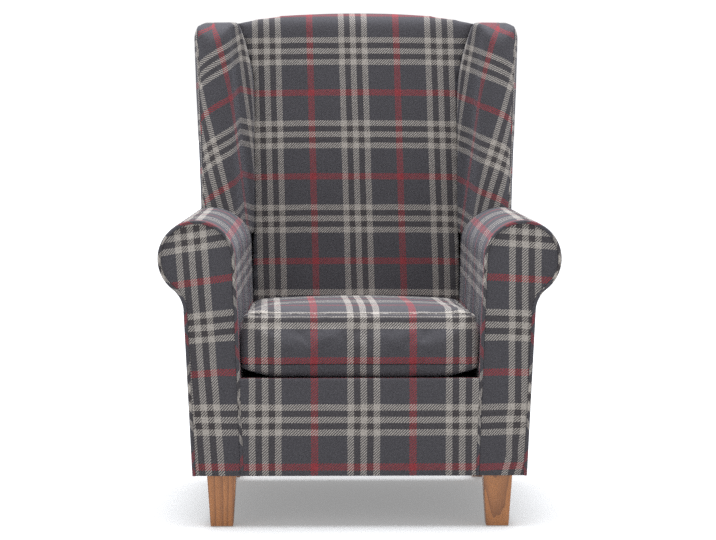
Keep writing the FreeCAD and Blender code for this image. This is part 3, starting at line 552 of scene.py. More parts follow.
def woodGroup():
    # rings round a long axis, cut through by the piece; pores and rays run along the grain
    group = newGroup(
        "woodGrain",
        [
            ("Vector", "NodeSocketVector", None),
            ("Ring Step", "NodeSocketFloat", 0.005),
            ("Pale", "NodeSocketColor", rgba((0.6, 0.36, 0.18))),
            ("Deep", "NodeSocketColor", rgba((0.38, 0.18, 0.06))),
            ("Pore", "NodeSocketColor", rgba((0.2, 0.09, 0.03))),
        ],
        [("Color", "NodeSocketColor"), ("Height", "NodeSocketFloat")],
    )
    bench = Bench(group)
    source = bench.add("NodeGroupInput")
    vector = source.outputs["Vector"]
    stretch = bench.add("ShaderNodeMapping")
    bench.link(vector, stretch.inputs["Vector"])
    stretch.inputs["Scale"].default_value = (1, 1, 0.12)
    bend = bench.add("ShaderNodeTexNoise")
    bench.link(stretch.outputs[0], bend.inputs["Vector"])
    bend.inputs["Scale"].default_value = 26
    bend.inputs["Detail"].default_value = 2
    split = bench.add("ShaderNodeSeparateXYZ")
    bench.link(vector, split.inputs[0])
    squares = [bench.maths("POWER", split.outputs[k], 2) for k in range(2)]
    radius = bench.maths("SQRT", bench.maths("ADD", *squares))
    radius = bench.maths("MULTIPLY_ADD", bend.outputs["Fac"], 0.012, radius)
    ring = bench.maths("DIVIDE", radius, source.outputs["Ring Step"])
    ring = bench.maths("FRACT", ring)
    late = bench.maths("POWER", ring, 2.2)
    fine = bench.add("ShaderNodeMapping")
    bench.link(vector, fine.inputs["Vector"])
    fine.inputs["Scale"].default_value = (1, 1, 0.035)
    streak = bench.noise(fine.outputs[0], 900, 3, 0.6)
    pores = bench.maths("MULTIPLY_ADD", streak, 5.0, -2.75, clamp=True)
    early = bench.maths("SUBTRACT", 1.0, ring)
    poreMask = bench.maths("MULTIPLY", pores, bench.maths("MULTIPLY_ADD", early, 0.8, 0.1))
    tone = bench.noise(stretch.outputs[0], 60, 3, 0.6)
    colour = bench.mix(bench.maths("MULTIPLY", late, 0.75), source.outputs["Pale"], source.outputs["Deep"])
    deepShare = bench.maths("MULTIPLY_ADD", tone, 0.7, -0.15, clamp=True)
    colour = bench.mix(deepShare, colour, source.outputs["Deep"])
    colour = bench.mix(poreMask, colour, source.outputs["Pore"])
    height = bench.maths("SUBTRACT", 1.0, poreMask)
    sink = bench.add("NodeGroupOutput")
    bench.link(colour, sink.inputs["Color"])
    bench.link(height, sink.inputs["Height"])
    return group


woodGroup()


def woodMaterial(name, centre, tilt, finish, coat=0.0):
    material, bench, shader = newMaterial(
        name, Roughness=finish["roughness"], Coat_Weight=coat, Coat_Roughness=0.25
    )
    place = bench.add("ShaderNodeTexCoord")
    mapping = bench.add("ShaderNodeMapping")
    bench.link(place.outputs["Object"], mapping.inputs["Vector"])
    mapping.vector_type = "TEXTURE"
    mapping.inputs["Location"].default_value = [value * mm for value in centre]
    mapping.inputs["Rotation"].default_value = [math.radians(value) for value in tilt]
    grain = bench.add("ShaderNodeGroup", node_tree=bpy.data.node_groups["woodGrain"])
    bench.link(mapping.outputs[0], grain.inputs["Vector"])
    grain.inputs["Ring Step"].default_value = finish["ringStep"] * mm
    for label in ("Pale", "Deep", "Pore"):
        grain.inputs[label].default_value = rgba(finish[label.lower()])
    bench.link(grain.outputs["Color"], shader.inputs["Base Color"])
    bumpInto(bench, shader, grain.outputs["Height"], 0.25, 0.3)
    return material


pineFinish = {
    "pale": (0.68, 0.47, 0.27),
    "deep": (0.50, 0.29, 0.13),
    "pore": (0.40, 0.23, 0.11),
    "ringStep": 6.5,
    "roughness": 0.62,
}

legs = {
    "front_left_leg": {"centre": (-330, -300, 60), "tilt": (1.5, 3, 0)},
    "front_right_leg": {"centre": (276, -318, 20), "tilt": (9, -3, 0)},
    "rear_left_leg": {"centre": (-240, 230, 50), "tilt": (-20, 2, 0)},
    "rear_right_leg": {"centre": (320, 240, 50), "tilt": (-20, -2, 0)},
}


def noisyMaterial(name, colour, darker, scale, bump, **constants):
    # a plain finish with a fine grain and uneven tone
    material, bench, shader = newMaterial(name, **constants)
    place = bench.add("ShaderNodeTexCoord").outputs["Object"]
    speckle = bench.noise(place, scale, 3, 0.6)
    broad = bench.noise(place, scale / 14, 2)
    tone = bench.maths("MULTIPLY_ADD", broad, 0.6, bench.maths("MULTIPLY", speckle, 0.5))
    bench.link(bench.mix(tone, rgba(darker), rgba(colour)), shader.inputs["Base Color"])
    bumpInto(bench, shader, speckle, bump, 0.4)
    return material


def wovenMaterial(name, colour, darker, step, bump):
    # plain woven backing cloth, over and under in squares
    material, bench, shader = newMaterial(name, Roughness=0.85, Specular_IOR_Level=0.3)
    place = bench.add("ShaderNodeTexCoord").outputs["Object"]
    checker = bench.add("ShaderNodeTexChecker")
    bench.link(place, checker.inputs["Vector"])
    checker.inputs["Scale"].default_value = 1000 / step
    checker.inputs["Color1"].default_value = rgba(colour)
    checker.inputs["Color2"].default_value = rgba(darker)
    cloud = bench.noise(place, 40, 3)
    tone = bench.mix(bench.maths("MULTIPLY", cloud, 0.5), checker.outputs["Color"], rgba(darker))
    bench.link(tone, shader.inputs["Base Color"])
    bumpInto(bench, shader, checker.outputs["Fac"], bump, 0.3)
    return material


platformCloth = wovenMaterial("platformCloth", (0.05, 0.05, 0.055), (0.028, 0.028, 0.032), 1.6, 0.4)
dustCloth = noisyMaterial("dustCloth", (0.035, 0.035, 0.037), (0.02, 0.02, 0.022), 900, 0.5, Roughness=0.9)
webbingCloth = wovenMaterial("webbingCloth", (0.42, 0.33, 0.20), (0.26, 0.20, 0.12), 2.4, 0.5)
zincSteel = noisyMaterial(
    "zincSteel", (0.62, 0.63, 0.64), (0.46, 0.47, 0.49), 260, 0.1, Metallic=1.0, Roughness=0.38
)
springSteel = noisyMaterial(
    "springSteel", (0.16, 0.16, 0.17), (0.08, 0.08, 0.09), 300, 0.15, Metallic=1.0, Roughness=0.45
)
nylonBlack = noisyMaterial(
    "nylonGlide", (0.05, 0.05, 0.052), (0.035, 0.035, 0.036), 500, 0.1, Roughness=0.5
)
zipTapeCloth = wovenMaterial("zipTape", (0.06, 0.058, 0.062), (0.035, 0.034, 0.037), 1.0, 0.4)
zipNickel = noisyMaterial(
    "zipMetal", (0.55, 0.53, 0.50), (0.36, 0.35, 0.33), 400, 0.1, Metallic=1.0, Roughness=0.32
)
pine = woodMaterial("framePine", (40, 120, 0), (4, 2, 0), pineFinish)
pineAcross = woodMaterial("framePineAcross", (0, 60, 700), (0, 90, 3), pineFinish)
pineDeep = woodMaterial("framePineDeep", (60, 0, 700), (86, 0, 0), pineFinish)

nodeFinishes = {
    "leg_hanger_bolts": zincSteel,
    "leg_plates": zincSteel,
    "leg_glides": nylonBlack,
    "seat_springs": springSteel,
    "spring_clips": zincSteel,
    "cushion_zip_tape": zipTapeCloth,
    "cushion_zip_slider": zipNickel,
    "front_rail": pineAcross,
    "rear_rail": pineAcross,
    "lower_back_rail": pineAcross,
    "crest_rail": pineAcross,
    "corner_blocks": pineAcross,
    "left_side_rail": pineDeep,
    "right_side_rail": pineDeep,
    "left_arm_rail": pineDeep,
    "right_arm_rail": pineDeep,
    "left_front_post": pine,
    "right_front_post": pine,
    "left_back_post": pine,
    "right_back_post": pine,
    "left_wing_board": pine,
    "right_wing_board": pine,
}
for name, setting in legs.items():
    nodeFinishes[name] = woodMaterial(f"oak_{name}", setting["centre"], setting["tilt"], oakFinish, 0.25)
for name, material in nodeFinishes.items():
    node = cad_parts[name]
    node.data.materials.clear()
    node.data.materials.append(material)
print("timber, metal and trim finishes ready")


# camera, light and floor

view = {
    "place": (-66, -4890.3, 878),
    "tilt": 4.657,
    "turn": 0.794,
    "lens": 116.04,
}
bpy.ops.object.camera_add(
    location=[value * mm for value in view["place"]],
    rotation=(math.radians(90 - view["tilt"]), 0, math.radians(-view["turn"])),
)
camera = bpy.context.object
camera.name = "viewCamera"
camera.data.lens = view["lens"]
camera.data.sensor_width = 36
camera.data.clip_end = 100
scene.camera = camera

lights = {
    "leftFront": {"place": (-2600, -3400, 2300), "aim": (0, 0, 500), "size": 2200, "power": 14},
    "rightFront": {"place": (2700, -3200, 2100), "aim": (0, 0, 500), "size": 2200, "power": 8},
}
for name, setting in lights.items():
    place = Vector(setting["place"]) * mm
    aim = Vector(setting["aim"]) * mm - place
    bpy.ops.object.light_add(type="AREA", location=place, rotation=aim.to_track_quat("-Z", "Y").to_euler())
    lamp = bpy.context.object
    lamp.name = name
    lamp.data.size = setting["size"] * mm
    lamp.data.energy = setting["power"]

ceiling = {"strength": 8.5, "spread": 50, "lean": -6, "surround": 0.48}
bpy.ops.object.light_add(type="SUN", location=(0, 0, 4), rotation=(math.radians(ceiling["lean"]), 0, 0))
lamp = bpy.context.object
lamp.name = "ceilingLight"
lamp.data.energy = ceiling["strength"]
lamp.data.color = (0.93, 0.96, 1.0)
lamp.data.angle = math.radians(ceiling["spread"])

# the backdrop looks white, and lights the chair less than it shows
world = bpy.data.worlds.new("studio")
scene.world = world
world.use_nodes = True
worldBench = Bench(world.node_tree)
backdrop = world.node_tree.nodes["Background"]
backdrop.inputs["Color"].default_value = (1, 1, 1, 1)
seen = worldBench.add("ShaderNodeLightPath").outputs["Is Camera Ray"]
strength = worldBench.maths("MULTIPLY_ADD", seen, 1.05 - ceiling["surround"], ceiling["surround"])
worldBench.link(strength, backdrop.inputs["Strength"])

clearSelection()
bpy.ops.mesh.primitive_circle_add(vertices=96, radius=30, fill_type="NGON")
floor = bpy.context.object
floor.name = "studioFloor"
floorMaterial, floorBench, floorShader = newMaterial("studioFloor", Roughness=0.9, Specular_IOR_Level=0.1)
floorPlace = floorBench.add("ShaderNodeTexCoord").outputs["Object"]
floorGreys = [rgba((tone, tone, tone)) for tone in (0.40, 0.42)]
floorTone = floorBench.mix(floorBench.noise(floorPlace, 3), *floorGreys)
floorBench.link(floorTone, floorShader.inputs["Base Color"])
floorShader.inputs["Emission Color"].default_value = (1, 1, 1, 1)
floorShader.inputs["Emission Strength"].default_value = 0.29
floor.data.materials.append(floorMaterial)
print("camera, light and floor ready")


# scroll arms

arm = {
    "headOffset": 320,
    "headHeight": 533,
    "headRadius": 76,
    "innerBase": 228,
    "outerBase": 330,
    "outerNeck": 346,
    "neckHeight": 443,
    "underRoll": 58,
    "innerFloor": 246,
    "front": 7,
    "edgeRound": 6,
    "rows": 44,
}


def armOutline(inset, sideInset, innerLow, outerLow, lowInset=None):
    # scroll seen from the front: up the inside, over the head, under the roll and down the outside
    centre = (arm["headOffset"], arm["headHeight"])
    radius, foot = arm["headRadius"], (arm["innerBase"], chair["base"])
    reach = (centre[0] - foot[0], centre[1] - foot[1])
    lean = math.atan2(reach[0], reach[1]) - math.asin(radius / math.hypot(*reach))
    innerAngle = math.pi - lean
    head = radius - inset
    low, neck = (arm["outerBase"], chair["base"]), (arm["outerNeck"], arm["neckHeight"])
    length = math.dist(low, neck)
    up = ((neck[0] - low[0]) / length, (neck[1] - low[1]) / length)
    out = (up[1], -up[0])
    hollow = arm["underRoll"]
    start = (low[0] + hollow * out[0] - centre[0], low[1] + hollow * out[1] - centre[1])
    along = start[0] * up[0] + start[1] * up[1]
    root = math.sqrt(along**2 - start[0] ** 2 - start[1] ** 2 + (head + hollow + sideInset) ** 2)
    step = -along - root
    under = (centre[0] + start[0] + step * up[0], centre[1] + start[1] + step * up[1])
    headEnd = math.atan2(under[1] - centre[1], under[0] - centre[0])
    hollowEnd = math.atan2(-out[1], -out[0]) % (2 * math.pi)
    headArc = arcPoints(centre, head, innerAngle, headEnd, 56)
    hollowArc = arcPoints(under, hollow + sideInset, headEnd + math.pi, hollowEnd, 8)
    innerTop, outerTop = headArc[0], hollowArc[-1]
    innerRun = [
        (innerTop[0] - math.tan(lean) * (innerTop[1] - z), z)
        for z in np.linspace(innerLow, innerTop[1], 34)[:-1]
    ]
    shift = 0 if lowInset is None else lowInset - sideInset
    outerRun = [
        (outerTop[0] - up[0] / up[1] * (outerTop[1] - z) - shift * min(1, (outerTop[1] - z) / 4), z)
        for z in np.linspace(outerTop[1], outerLow, 26)[1:]
    ]
    return innerRun + headArc + hollowArc[1:] + outerRun


def rearReach(z, setback):
    # depth behind the front at which the raked plane lies, at a height
    rake = math.radians(chair["rake"])
    rise = (z - chair["seatHeight"] + setback * math.sin(rake)) / math.cos(rake)
    return chair["seatDepth"] + rise * math.sin(rake) + setback * math.cos(rake)


def armHeadTurn(co):
    # distance round the scroll from its top, positive towards the seat
    x = np.abs(co[:, 0] / mm) + toeIn * (co[:, 1] / mm - chair["frontY"]) - arm["headOffset"]
    z = co[:, 2] / mm - arm["headHeight"]
    angle = np.arctan2(-x, z)
    side = math.radians(92.1)
    turn = arm["headRadius"] * np.clip(angle, -math.pi, side)
    below = (angle > side) | ((x < 0) & (z < 0))
    turn = np.where(below, arm["headRadius"] * side - z, turn)
    outerSide = (x > 0) & (z < -60)
    return np.where(outerSide, -arm["headRadius"] * 1.9 + (z + 60), turn)


def armPattern(co, facing):
    fall = matching["arm"]
    depth = co[:, 1] / mm - chair["frontY"]
    return armHeadTurn(co) + fall["drift"] * depth - fall["turn"], depth - fall["depth"]


def makeArmPads():
    profiles = []
    rows = arm["rows"]
    for j in range(rows + 1):
        u = arm["front"] + (0, 1.5, 4, 8)[min(j, 3)]
        bend = max(0.0, arm["edgeRound"] - (u - arm["front"]))
        inset = arm["edgeRound"] - math.sqrt(max(0.0, arm["edgeRound"] ** 2 - bend**2))
        profiles.append((u, armOutline(inset, inset, arm["innerFloor"], arm["innerFloor"], inset + 2)))
    count = len(profiles[0][1])

    def place(i, j):
        u, outline = profiles[j]
        x, z = outline[i]
        if j > 3:
            u += (rearReach(z, chair["backThickness"] - 1.5) - u) * (j - 3) / (rows - 3)
        return at(upright, x - toeIn * u, u, z)

    right = wrap("rightArmPad", count, rows, place)
    ripple(right, 0.7, 9)
    left = mirrorPiece(right, "leftArmPad")
    for piece, side in ((left, "left"), (right, "right")):
        weaveMap(piece, armPattern)
        smoothShade(piece, 60)
        nodes = (f"{side}_inside_arm_cover", f"{side}_arm_foam")
        dress(piece, wool, "frame", nodes)


def makeOutsideArms():
    # flat side panel from the seam under the roll to the turned hem
    rows, columns = 40, 44
    outline = armOutline(0, 0, arm["innerFloor"], chair["base"])[-26:]
    path = [(x, z) for x, z in outline]
    foot = path[-1]
    hem = ((0.6, 2.5), (3, 0.4), (24, 0.4))
    path = path[:-1] + [(foot[0] - inward, foot[1] + climb) for inward, climb in hem]

    def place(s, t):
        k = s * (len(path) - 1)
        i = min(int(k), len(path) - 2)
        share = k - i
        x = path[i][0] + (path[i + 1][0] - path[i][0]) * share
        z = path[i][1] + (path[i + 1][1] - path[i][1]) * share
        u = arm["front"] + (rearReach(z, chair["backThickness"] - 1.5) - arm["front"]) * t
        swell = 5 * min(1, t * 9, (1 - t) * 9) * math.sin(math.pi * min(1, s * 1.1))
        return at(upright, x - toeIn * u + swell, u, z)

    right = sheetOf("rightOutsideArm", columns * 2, rows, place)
    applyModifier(right, "SOLIDIFY", thickness=1.4 * mm, offset=0)
    tidyNormals(right)
    left = mirrorPiece(right, "leftOutsideArm")

    def pattern(co, facing):
        fall = matching["outsideArm"]
        return co[:, 1] / mm - chair["frontY"] - fall["depth"], co[:, 2] / mm - fall["rise"]

    for piece, side in ((left, "left"), (right, "right")):
        weaveMap(piece, pattern)
        smoothShade(piece, 50)
        dress(piece, wool, "frame", (f"{side}_outside_arm_cover",))


def facingPattern(side):
    fall = matching["facing"][side]

    def pattern(co, facing):
        x, z = co[:, 0] / mm, co[:, 2] / mm
        if side == "left":
            centre = -fall["centre"] - fall["lean"] * (z - fall["foot"])
            slope = -np.tan(np.radians(np.clip((z - 230) / 30, 0, 9)))
            edge = x + fall["seam"]
        else:
            centre = fall["centre"] - np.clip(fall["kinkFrom"] - z, 0, 60) * fall["kink"]
            slope = np.tan(np.radians(np.clip((z - 300) / 60, -2, 4)))
            edge = x - fall["seam"]
        return x - centre + matching["middle"], z + slope * edge - matching["facing"]["rise"]

    return pattern


def makeFacings():
    for side, sign in (("left", -1), ("right", 1)):
        outline = [(sign * x, z) for x, z in armOutline(7, 7, chair["base"], chair["base"])]
        piece = flatShape(f"{side}ArmFacing", outline, upright, fromFront, 5, -2.6)
        sharp = {"limit_method": "ANGLE", "angle_limit": math.radians(60)}
        applyModifier(piece, "BEVEL", width=1.3 * mm, segments=3, **sharp)
        tidyNormals(piece)
        weaveMap(piece, facingPattern(side))
        smoothShade(piece, 40)
        dress(piece, wool, "frame", (f"{side}_arm_facing",))


def cordAlong(name, points, radius, shift=0.0, closed=False):
    # piping: a round cord in its own cloth, with the check running along it
    clearSelection()
    curve = bpy.data.curves.new(name, "CURVE")
    curve.dimensions = "3D"
    spline = curve.splines.new("POLY")
    spline.points.add(len(points) - 1)
    for point, place in zip(spline.points, points):
        point.co = (*place, 1)
    spline.use_cyclic_u = closed
    curve.bevel_depth = radius * mm
    curve.bevel_resolution = 4
    curve.use_fill_caps = not closed
    piece = bpy.data.objects.new(name, curve)
    scene.collection.objects.link(piece)
    pick(piece)
    bpy.ops.object.convert(target="MESH")
    piece = bpy.context.object
    tidyNormals(piece)
    path = np.array([list(point) for point in points])
    lengths = np.concatenate([[0], np.cumsum(np.linalg.norm(np.diff(path, axis=0), axis=1))])

    def pattern(co, facing):
        across, along = [], []
        for place in co:
            gaps = np.linalg.norm(path - place, axis=1)
            nearest = int(np.argmin(gaps))
            along.append(lengths[nearest] / mm)
            offset = place - path[nearest]
            across.append(math.atan2(offset[0] + offset[2], -offset[1]) * radius + shift)
        along = np.array(along)
        return np.array(across) + along * 0.7, along * 0.7 - np.array(across)

    weaveMap(piece, pattern)
    smoothShade(piece)
    return piece


def makeFacingPiping():
    for side, sign in (("left", -1), ("right", 1)):
        outline = armOutline(3.5, 3.5, chair["base"], chair["base"])
        points = [at(upright, sign * x, 3.5, z) for x, z in outline]
        piece = cordAlong(f"{side}FacingPiping", points, 3.5, 20)
        dress(piece, pipingWool, "frame", (f"{side}_arm_facing_piping",))


makeArmPads()
makeOutsideArms()
makeFacings()
makeFacingPiping()
print("scroll arms ready")


# front border, seat deck and dust cover

border = {"half": 236.5, "top": 296.4, "front": 2.0, "hem": 104, "bulge": 1.6, "round": 4}


def frontPattern(co, facing):
    depth = np.maximum(0, co[:, 1] / mm - chair["frontY"] - 2)
    fall = matching["border"]
    across = (co[:, 0] / mm - fall["centre"]) / fall["stretch"] + matching["middle"]
    return across, co[:, 2] / mm + depth - fall["rise"]


def makeFrontBorder():
    hem, top, bend = border["hem"], border["top"], border["round"]
    path = [(34, hem + 0.6), (20, hem + 0.4), (border["front"] + bend, hem)]
    path += arcPoints((border["front"] + bend, hem + bend), bend, -math.pi / 2, -math.pi, 5)[1:]
    path += [(border["front"], z) for z in np.linspace(hem + bend, top - bend, 26)[1:]]
    path += arcPoints((border["front"] + bend, top - bend), bend, math.pi, math.pi / 2, 5)[1:]
    path += [(border["front"] + 14, top)]

    def place(s, t):
        k = t * (len(path) - 1)
        i = min(int(k), len(path) - 2)
        share = k - i
        u = path[i][0] + (path[i + 1][0] - path[i][0]) * share
        z = path[i][1] + (path[i + 1][1] - path[i][1]) * share
        lean = (z - chair["base"]) * 0.0372
        half = min(border["half"], 228.4 + lean)
        x = (2 * s - 1) * half
        u -= border["bulge"] * (1 - (2 * s - 1) ** 4) * max(0, math.sin(math.pi * (z - hem) / (top - hem)))
        return at(upright, x, u, z)

    piece = sheetOf("frontBorder", 60, 72, place)
    applyModifier(piece, "SOLIDIFY", thickness=1.4 * mm, offset=0)
    tidyNormals(piece)
    weaveMap(piece, frontPattern)
    smoothShade(piece, 50)
    dress(piece, wool, "frame", ("front_border_cover", "front_border_padding"))


def makeSeatDeck():
    # black cloth over felt, sagging a little between the springs
    def place(s, t):
        u = 12 + (488 - 12) * t
        z = 11.6 - 2.2 * math.sin(math.pi * s) * math.sin(math.pi * t)
        x = (2 * s - 1) * (233 - toeIn * u - 1.5)
        return at(seatPlane, x, u, z)

    piece = sheetOf("seatDeck", 40, 40, place)
    applyModifier(piece, "SOLIDIFY", thickness=3.2 * mm, offset=0)
    tidyNormals(piece)
    smoothShade(piece, 50)
    dress(piece, platformCloth, "frame", ("platform_cover", "platform_felt"))


def makeDustCover():
    low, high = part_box("dust_cover")
    z0, z1 = low.z / mm, high.z / mm
    front, rear = low.y / mm - chair["frontY"], high.y / mm - chair["frontY"]
    wide = high.x / mm
    narrow = wide - toeIn * (rear - front)
    corners = [(-wide, front), (wide, front), (narrow, rear), (-narrow, rear)]
    piece = flatShape("dustCover", evenly(corners, 30), upright, fromAbove, z0 + 0.2, z1 - z0 - 0.4)
    plateLow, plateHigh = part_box("leg_plates")
    side = 54 * mm
    for x in (plateLow.x, plateHigh.x - side + 2 * mm):
        for y in (plateLow.y, plateHigh.y - side + 2 * mm):
            clearSelection()
            middle = (x + side / 2 - mm, y + side / 2 - mm, z0 * mm)
            bpy.ops.mesh.primitive_cube_add(size=1, location=middle)
            tool = bpy.context.object
            tool.scale = (side, side, 0.05)
            bpy.ops.object.transform_apply(location=True, rotation=True, scale=True)
            combine(piece, tool, "DIFFERENCE")
    smoothShade(piece, 40)
    dress(piece, dustCloth, "frame", ("dust_cover",))


makeFrontBorder()
makeSeatDeck()
makeDustCover()
print("front border, deck and dust cover ready")


# inside back

back = {
    "half": 225,
    "flareStart": 400,
    "flareRadius": 481,
    "cornerRise": 592,
    "centreRise": 622,
    "bottom": -138,
    "crown": 10,
    "frontRound": 45,
    "rearRound": 30,
    "voxel": 8,
}


def creaseAt(rise):
    climb, flare = np.maximum(0, rise - back["flareStart"]), back["flareRadius"]
    return back["half"] + flare - np.sqrt(flare**2 - np.minimum(climb, 400) ** 2)


def crestArc(width, apex, rise, steps):
    # the shallow arch of the top edge, from right to left
    radius = (width**2 + rise**2) / (2 * rise)
    spread = math.asin(width / radius)
    start, finish = math.pi / 2 - spread, math.pi / 2 + spread
    return arcPoints((0, apex - radius), radius, start, finish, steps)


def rightCrease(top):
    return [(float(creaseAt(w)), float(w)) for w in np.linspace(back["flareStart"], top, 12)]


def makeInsideBack():
    corner, bottom = back["cornerRise"], back["bottom"]
    right = rightCrease(corner)
    top = crestArc(right[-1][0], back["centreRise"], back["centreRise"] - corner, 30)
    grow = 1.0
    edge = [(back["half"] + grow, bottom)] + [(x + grow, w) for x, w in right[:-1]]
    outline = edge + [(x, w + grow) for x, w in top] + [(-x, w) for x, w in reversed(edge)]
    piece = flatShape("insideBack", outline, raked, fromFront, -80, 260)
    rear = chair["backThickness"] - 1.2
    peak = back["centreRise"] + 1
    side = [(0, bottom - 5), (0, peak - 45)]
    side += arcPoints((45, peak - 45), 45, math.pi, math.pi / 2, 14)[1:]
    side += arcPoints((rear - 30, peak - 30), 30, math.pi / 2, 0, 10) + [(rear, bottom - 5)]
    combine(piece, flatShape("sideTool", side, raked, fromSide, -400, 800), "INTERSECT")
    soften(piece, back["voxel"], 8)
    co = inSpace(raked, getPoints(piece))
    share = np.clip(1 - co[:, 1] / 55, 0, 1)
    low = np.clip((co[:, 2] - bottom) / 60, 0, 1)
    co[:, 1] -= back["crown"] * (1 - np.clip(np.abs(co[:, 0]) / 222, 0, 1) ** 2.4) * share * low
    setPoints(piece, co * mm)
    piece.data.transform(raked)
    ripple(piece, 0.9, 7)
    applyModifier(piece, "SUBSURF", levels=1, render_levels=1)

    def pattern(co, facing):
        place = inSpace(raked, co)
        x, v, w = place[:, 0], place[:, 1], place[:, 2]
        # the cloth runs up the back, over the rolled top and down behind
        fall, roll = matching["back"], back["frontRound"]
        level, edge = back["centreRise"] - roll, roll - back["crown"]
        turn = np.arctan2(w - level, np.maximum(edge - v, 0.001))
        over = level + roll * np.clip(turn, 0, math.pi / 2)
        beyond = level + roll * math.pi / 2 + v - edge
        along = np.where(w > level, np.where(v > edge, beyond, over), w)
        along = np.where((v > 125) & (w < 590), 1374 - w, along)
        across = x - fall["centre"] + fall["drift"] * (w - fall["driftFrom"]) + matching["middle"]
        return across, along - fall["rise"]

    weaveMap(piece, pattern)
    smoothShade(piece)
    nodes = ("inside_back_cover", "back_foam")
    dress(piece, wool, "frame", nodes)


# wings

wing = {
    "seamPlane": ((334, -66, 160), (349, -66, 500), (312, 138, 330)),
    "reach": 108,
    "noseRadius": 42,
    "noseLow": 333,
    "noseHigh": 351,
    "lowRise": 130,
    "highRise": 505,
    "rearOffset": 312,
    "frontRise": 512,
    "lobeRise": 582,
    "topRise": 590,
    "lobeRadius": 54,
    "innerTop": 568,
    "lobeEdge": 353,
    "cutHeight": 545,
    "seamInset": 9,
    "voxel": 4.5,
}


def wingSection(rise):
    nose = wing["noseRadius"]
    share = (rise - wing["lowRise"]) / (wing["highRise"] - wing["lowRise"])
    centre = (wing["noseLow"] + share * (wing["noseHigh"] - wing["noseLow"]) - nose, nose - wing["reach"])
    crease, corner = (back["half"], 0), (wing["rearOffset"], chair["backThickness"])

    def touch(point, side):
        towards = math.atan2(point[1] - centre[1], point[0] - centre[0])
        return towards + side * math.acos(nose / math.dist(point, centre))

    inner, outer = touch(crease, 1), touch(corner, -1)
    front = arcPoints(centre, nose, inner, outer + 2 * math.pi, 24)
    return [(crease[0] - 4, chair["backThickness"]), (crease[0] - 4, 2), (crease[0], 0)] + front + [corner]


def wingDistance(place):
    # length of cloth from the crease: along the steep inner face, then round the nose
    x, v, w = np.abs(place[:, 0]), place[:, 1], place[:, 2]
    nose = wing["noseRadius"]
    share = (w - wing["lowRise"]) / (wing["highRise"] - wing["lowRise"])
    centreX = wing["noseLow"] + share * (wing["noseHigh"] - wing["noseLow"]) - nose
    centreV = nose - wing["reach"]
    gapX, gapV = centreX - back["half"], centreV
    reach = np.sqrt(gapX**2 + gapV**2 - nose**2)
    touch = np.arctan2(-gapV, -gapX) + np.arccos(nose / np.hypot(gapX, gapV))
    alongX, alongV = np.sin(touch), -np.cos(touch)
    flip = np.sign(alongX * gapX + alongV * gapV)
    straight = flip * (alongX * (x - back["half"]) + alongV * v)
    turned = (np.arctan2(v - centreV, x - centreX) - touch) % (2 * math.pi)
    outward = np.cos(touch) * (x - centreX) + np.sin(touch) * (v - centreV)
    flat = (straight < reach) & (outward > nose - 12)
    return np.where(flat, straight, reach + nose * np.where(turned > 5, 0, turned))


def wingPattern(side):
    fall, shared = matching["wing"][side], matching["wing"]

    def pattern(co, facing):
        place = inSpace(raked, co)
        x, v, w = np.abs(place[:, 0]), place[:, 1], place[:, 2]
        distance = wingDistance(place)
        across = distance - fall["red"] - fall["lean"] * (w - fall["level"])
        beyond = distance - fall["fallFrom"]
        if side == "left":
            beyond = np.maximum(0, beyond)
        along = w + fall["fall"] * beyond + fall["shift"]
        # top of the wing behind its rolled front, and its rear face
        crown, behind = (facing[:, 2] > 0.7) & (v > -25), v > 120
        across = np.where(crown, x - shared["crown"], np.where(behind, x - shared["behind"], across))
        along = np.where(crown, shared["crownRise"] + v, np.where(behind, w, along))
        return across, along - matching["back"]["rise"]

    return pattern


def outerWingPattern(co, facing):
    place = inSpace(raked, co)
    return place[:, 1] + matching["wing"]["outside"], place[:, 2] - matching["back"]["rise"]


def boundaryLoop(piece):
    # places along the open edge of a piece, in order
    mesh = piece.data
    uses = {}
    for polygon in mesh.polygons:
        for key in polygon.edge_keys:
            uses[key] = uses.get(key, 0) + 1
    links = {}
    for (a, b), count in uses.items():
        if count == 1:
            links.setdefault(a, []).append(b)
            links.setdefault(b, []).append(a)
    best = []
    seen = set()
    for start in links:
        if start in seen:
            continue
        loop, here, before = [start], start, None
        seen.add(start)
        while True:
            following = [k for k in links[here] if k != before and k not in seen]
            if not following:
                break
            before, here = here, following[0]
            seen.add(here)
            loop.append(here)
        if len(loop) > len(best):
            best = loop
    return [mesh.vertices[i].co.copy() for i in best]


def evenPath(points, step, passes=4):
    # smooths a closed path and spaces it evenly
    path = np.array([list(point) for point in points])
    for _ in range(passes):
        middle = (np.roll(path, 1, axis=0) + np.roll(path, -1, axis=0)) / 2
        path = (path + middle) / 2
    ring = np.vstack([path, path[:1]])
    lengths = np.concatenate([[0], np.cumsum(np.linalg.norm(np.diff(ring, axis=0), axis=1))])
    count = max(8, int(lengths[-1] / (step * mm)))
    targets = np.linspace(0, lengths[-1], count, endpoint=False)
    return np.stack([np.interp(targets, lengths, ring[:, k]) for k in range(3)], 1)


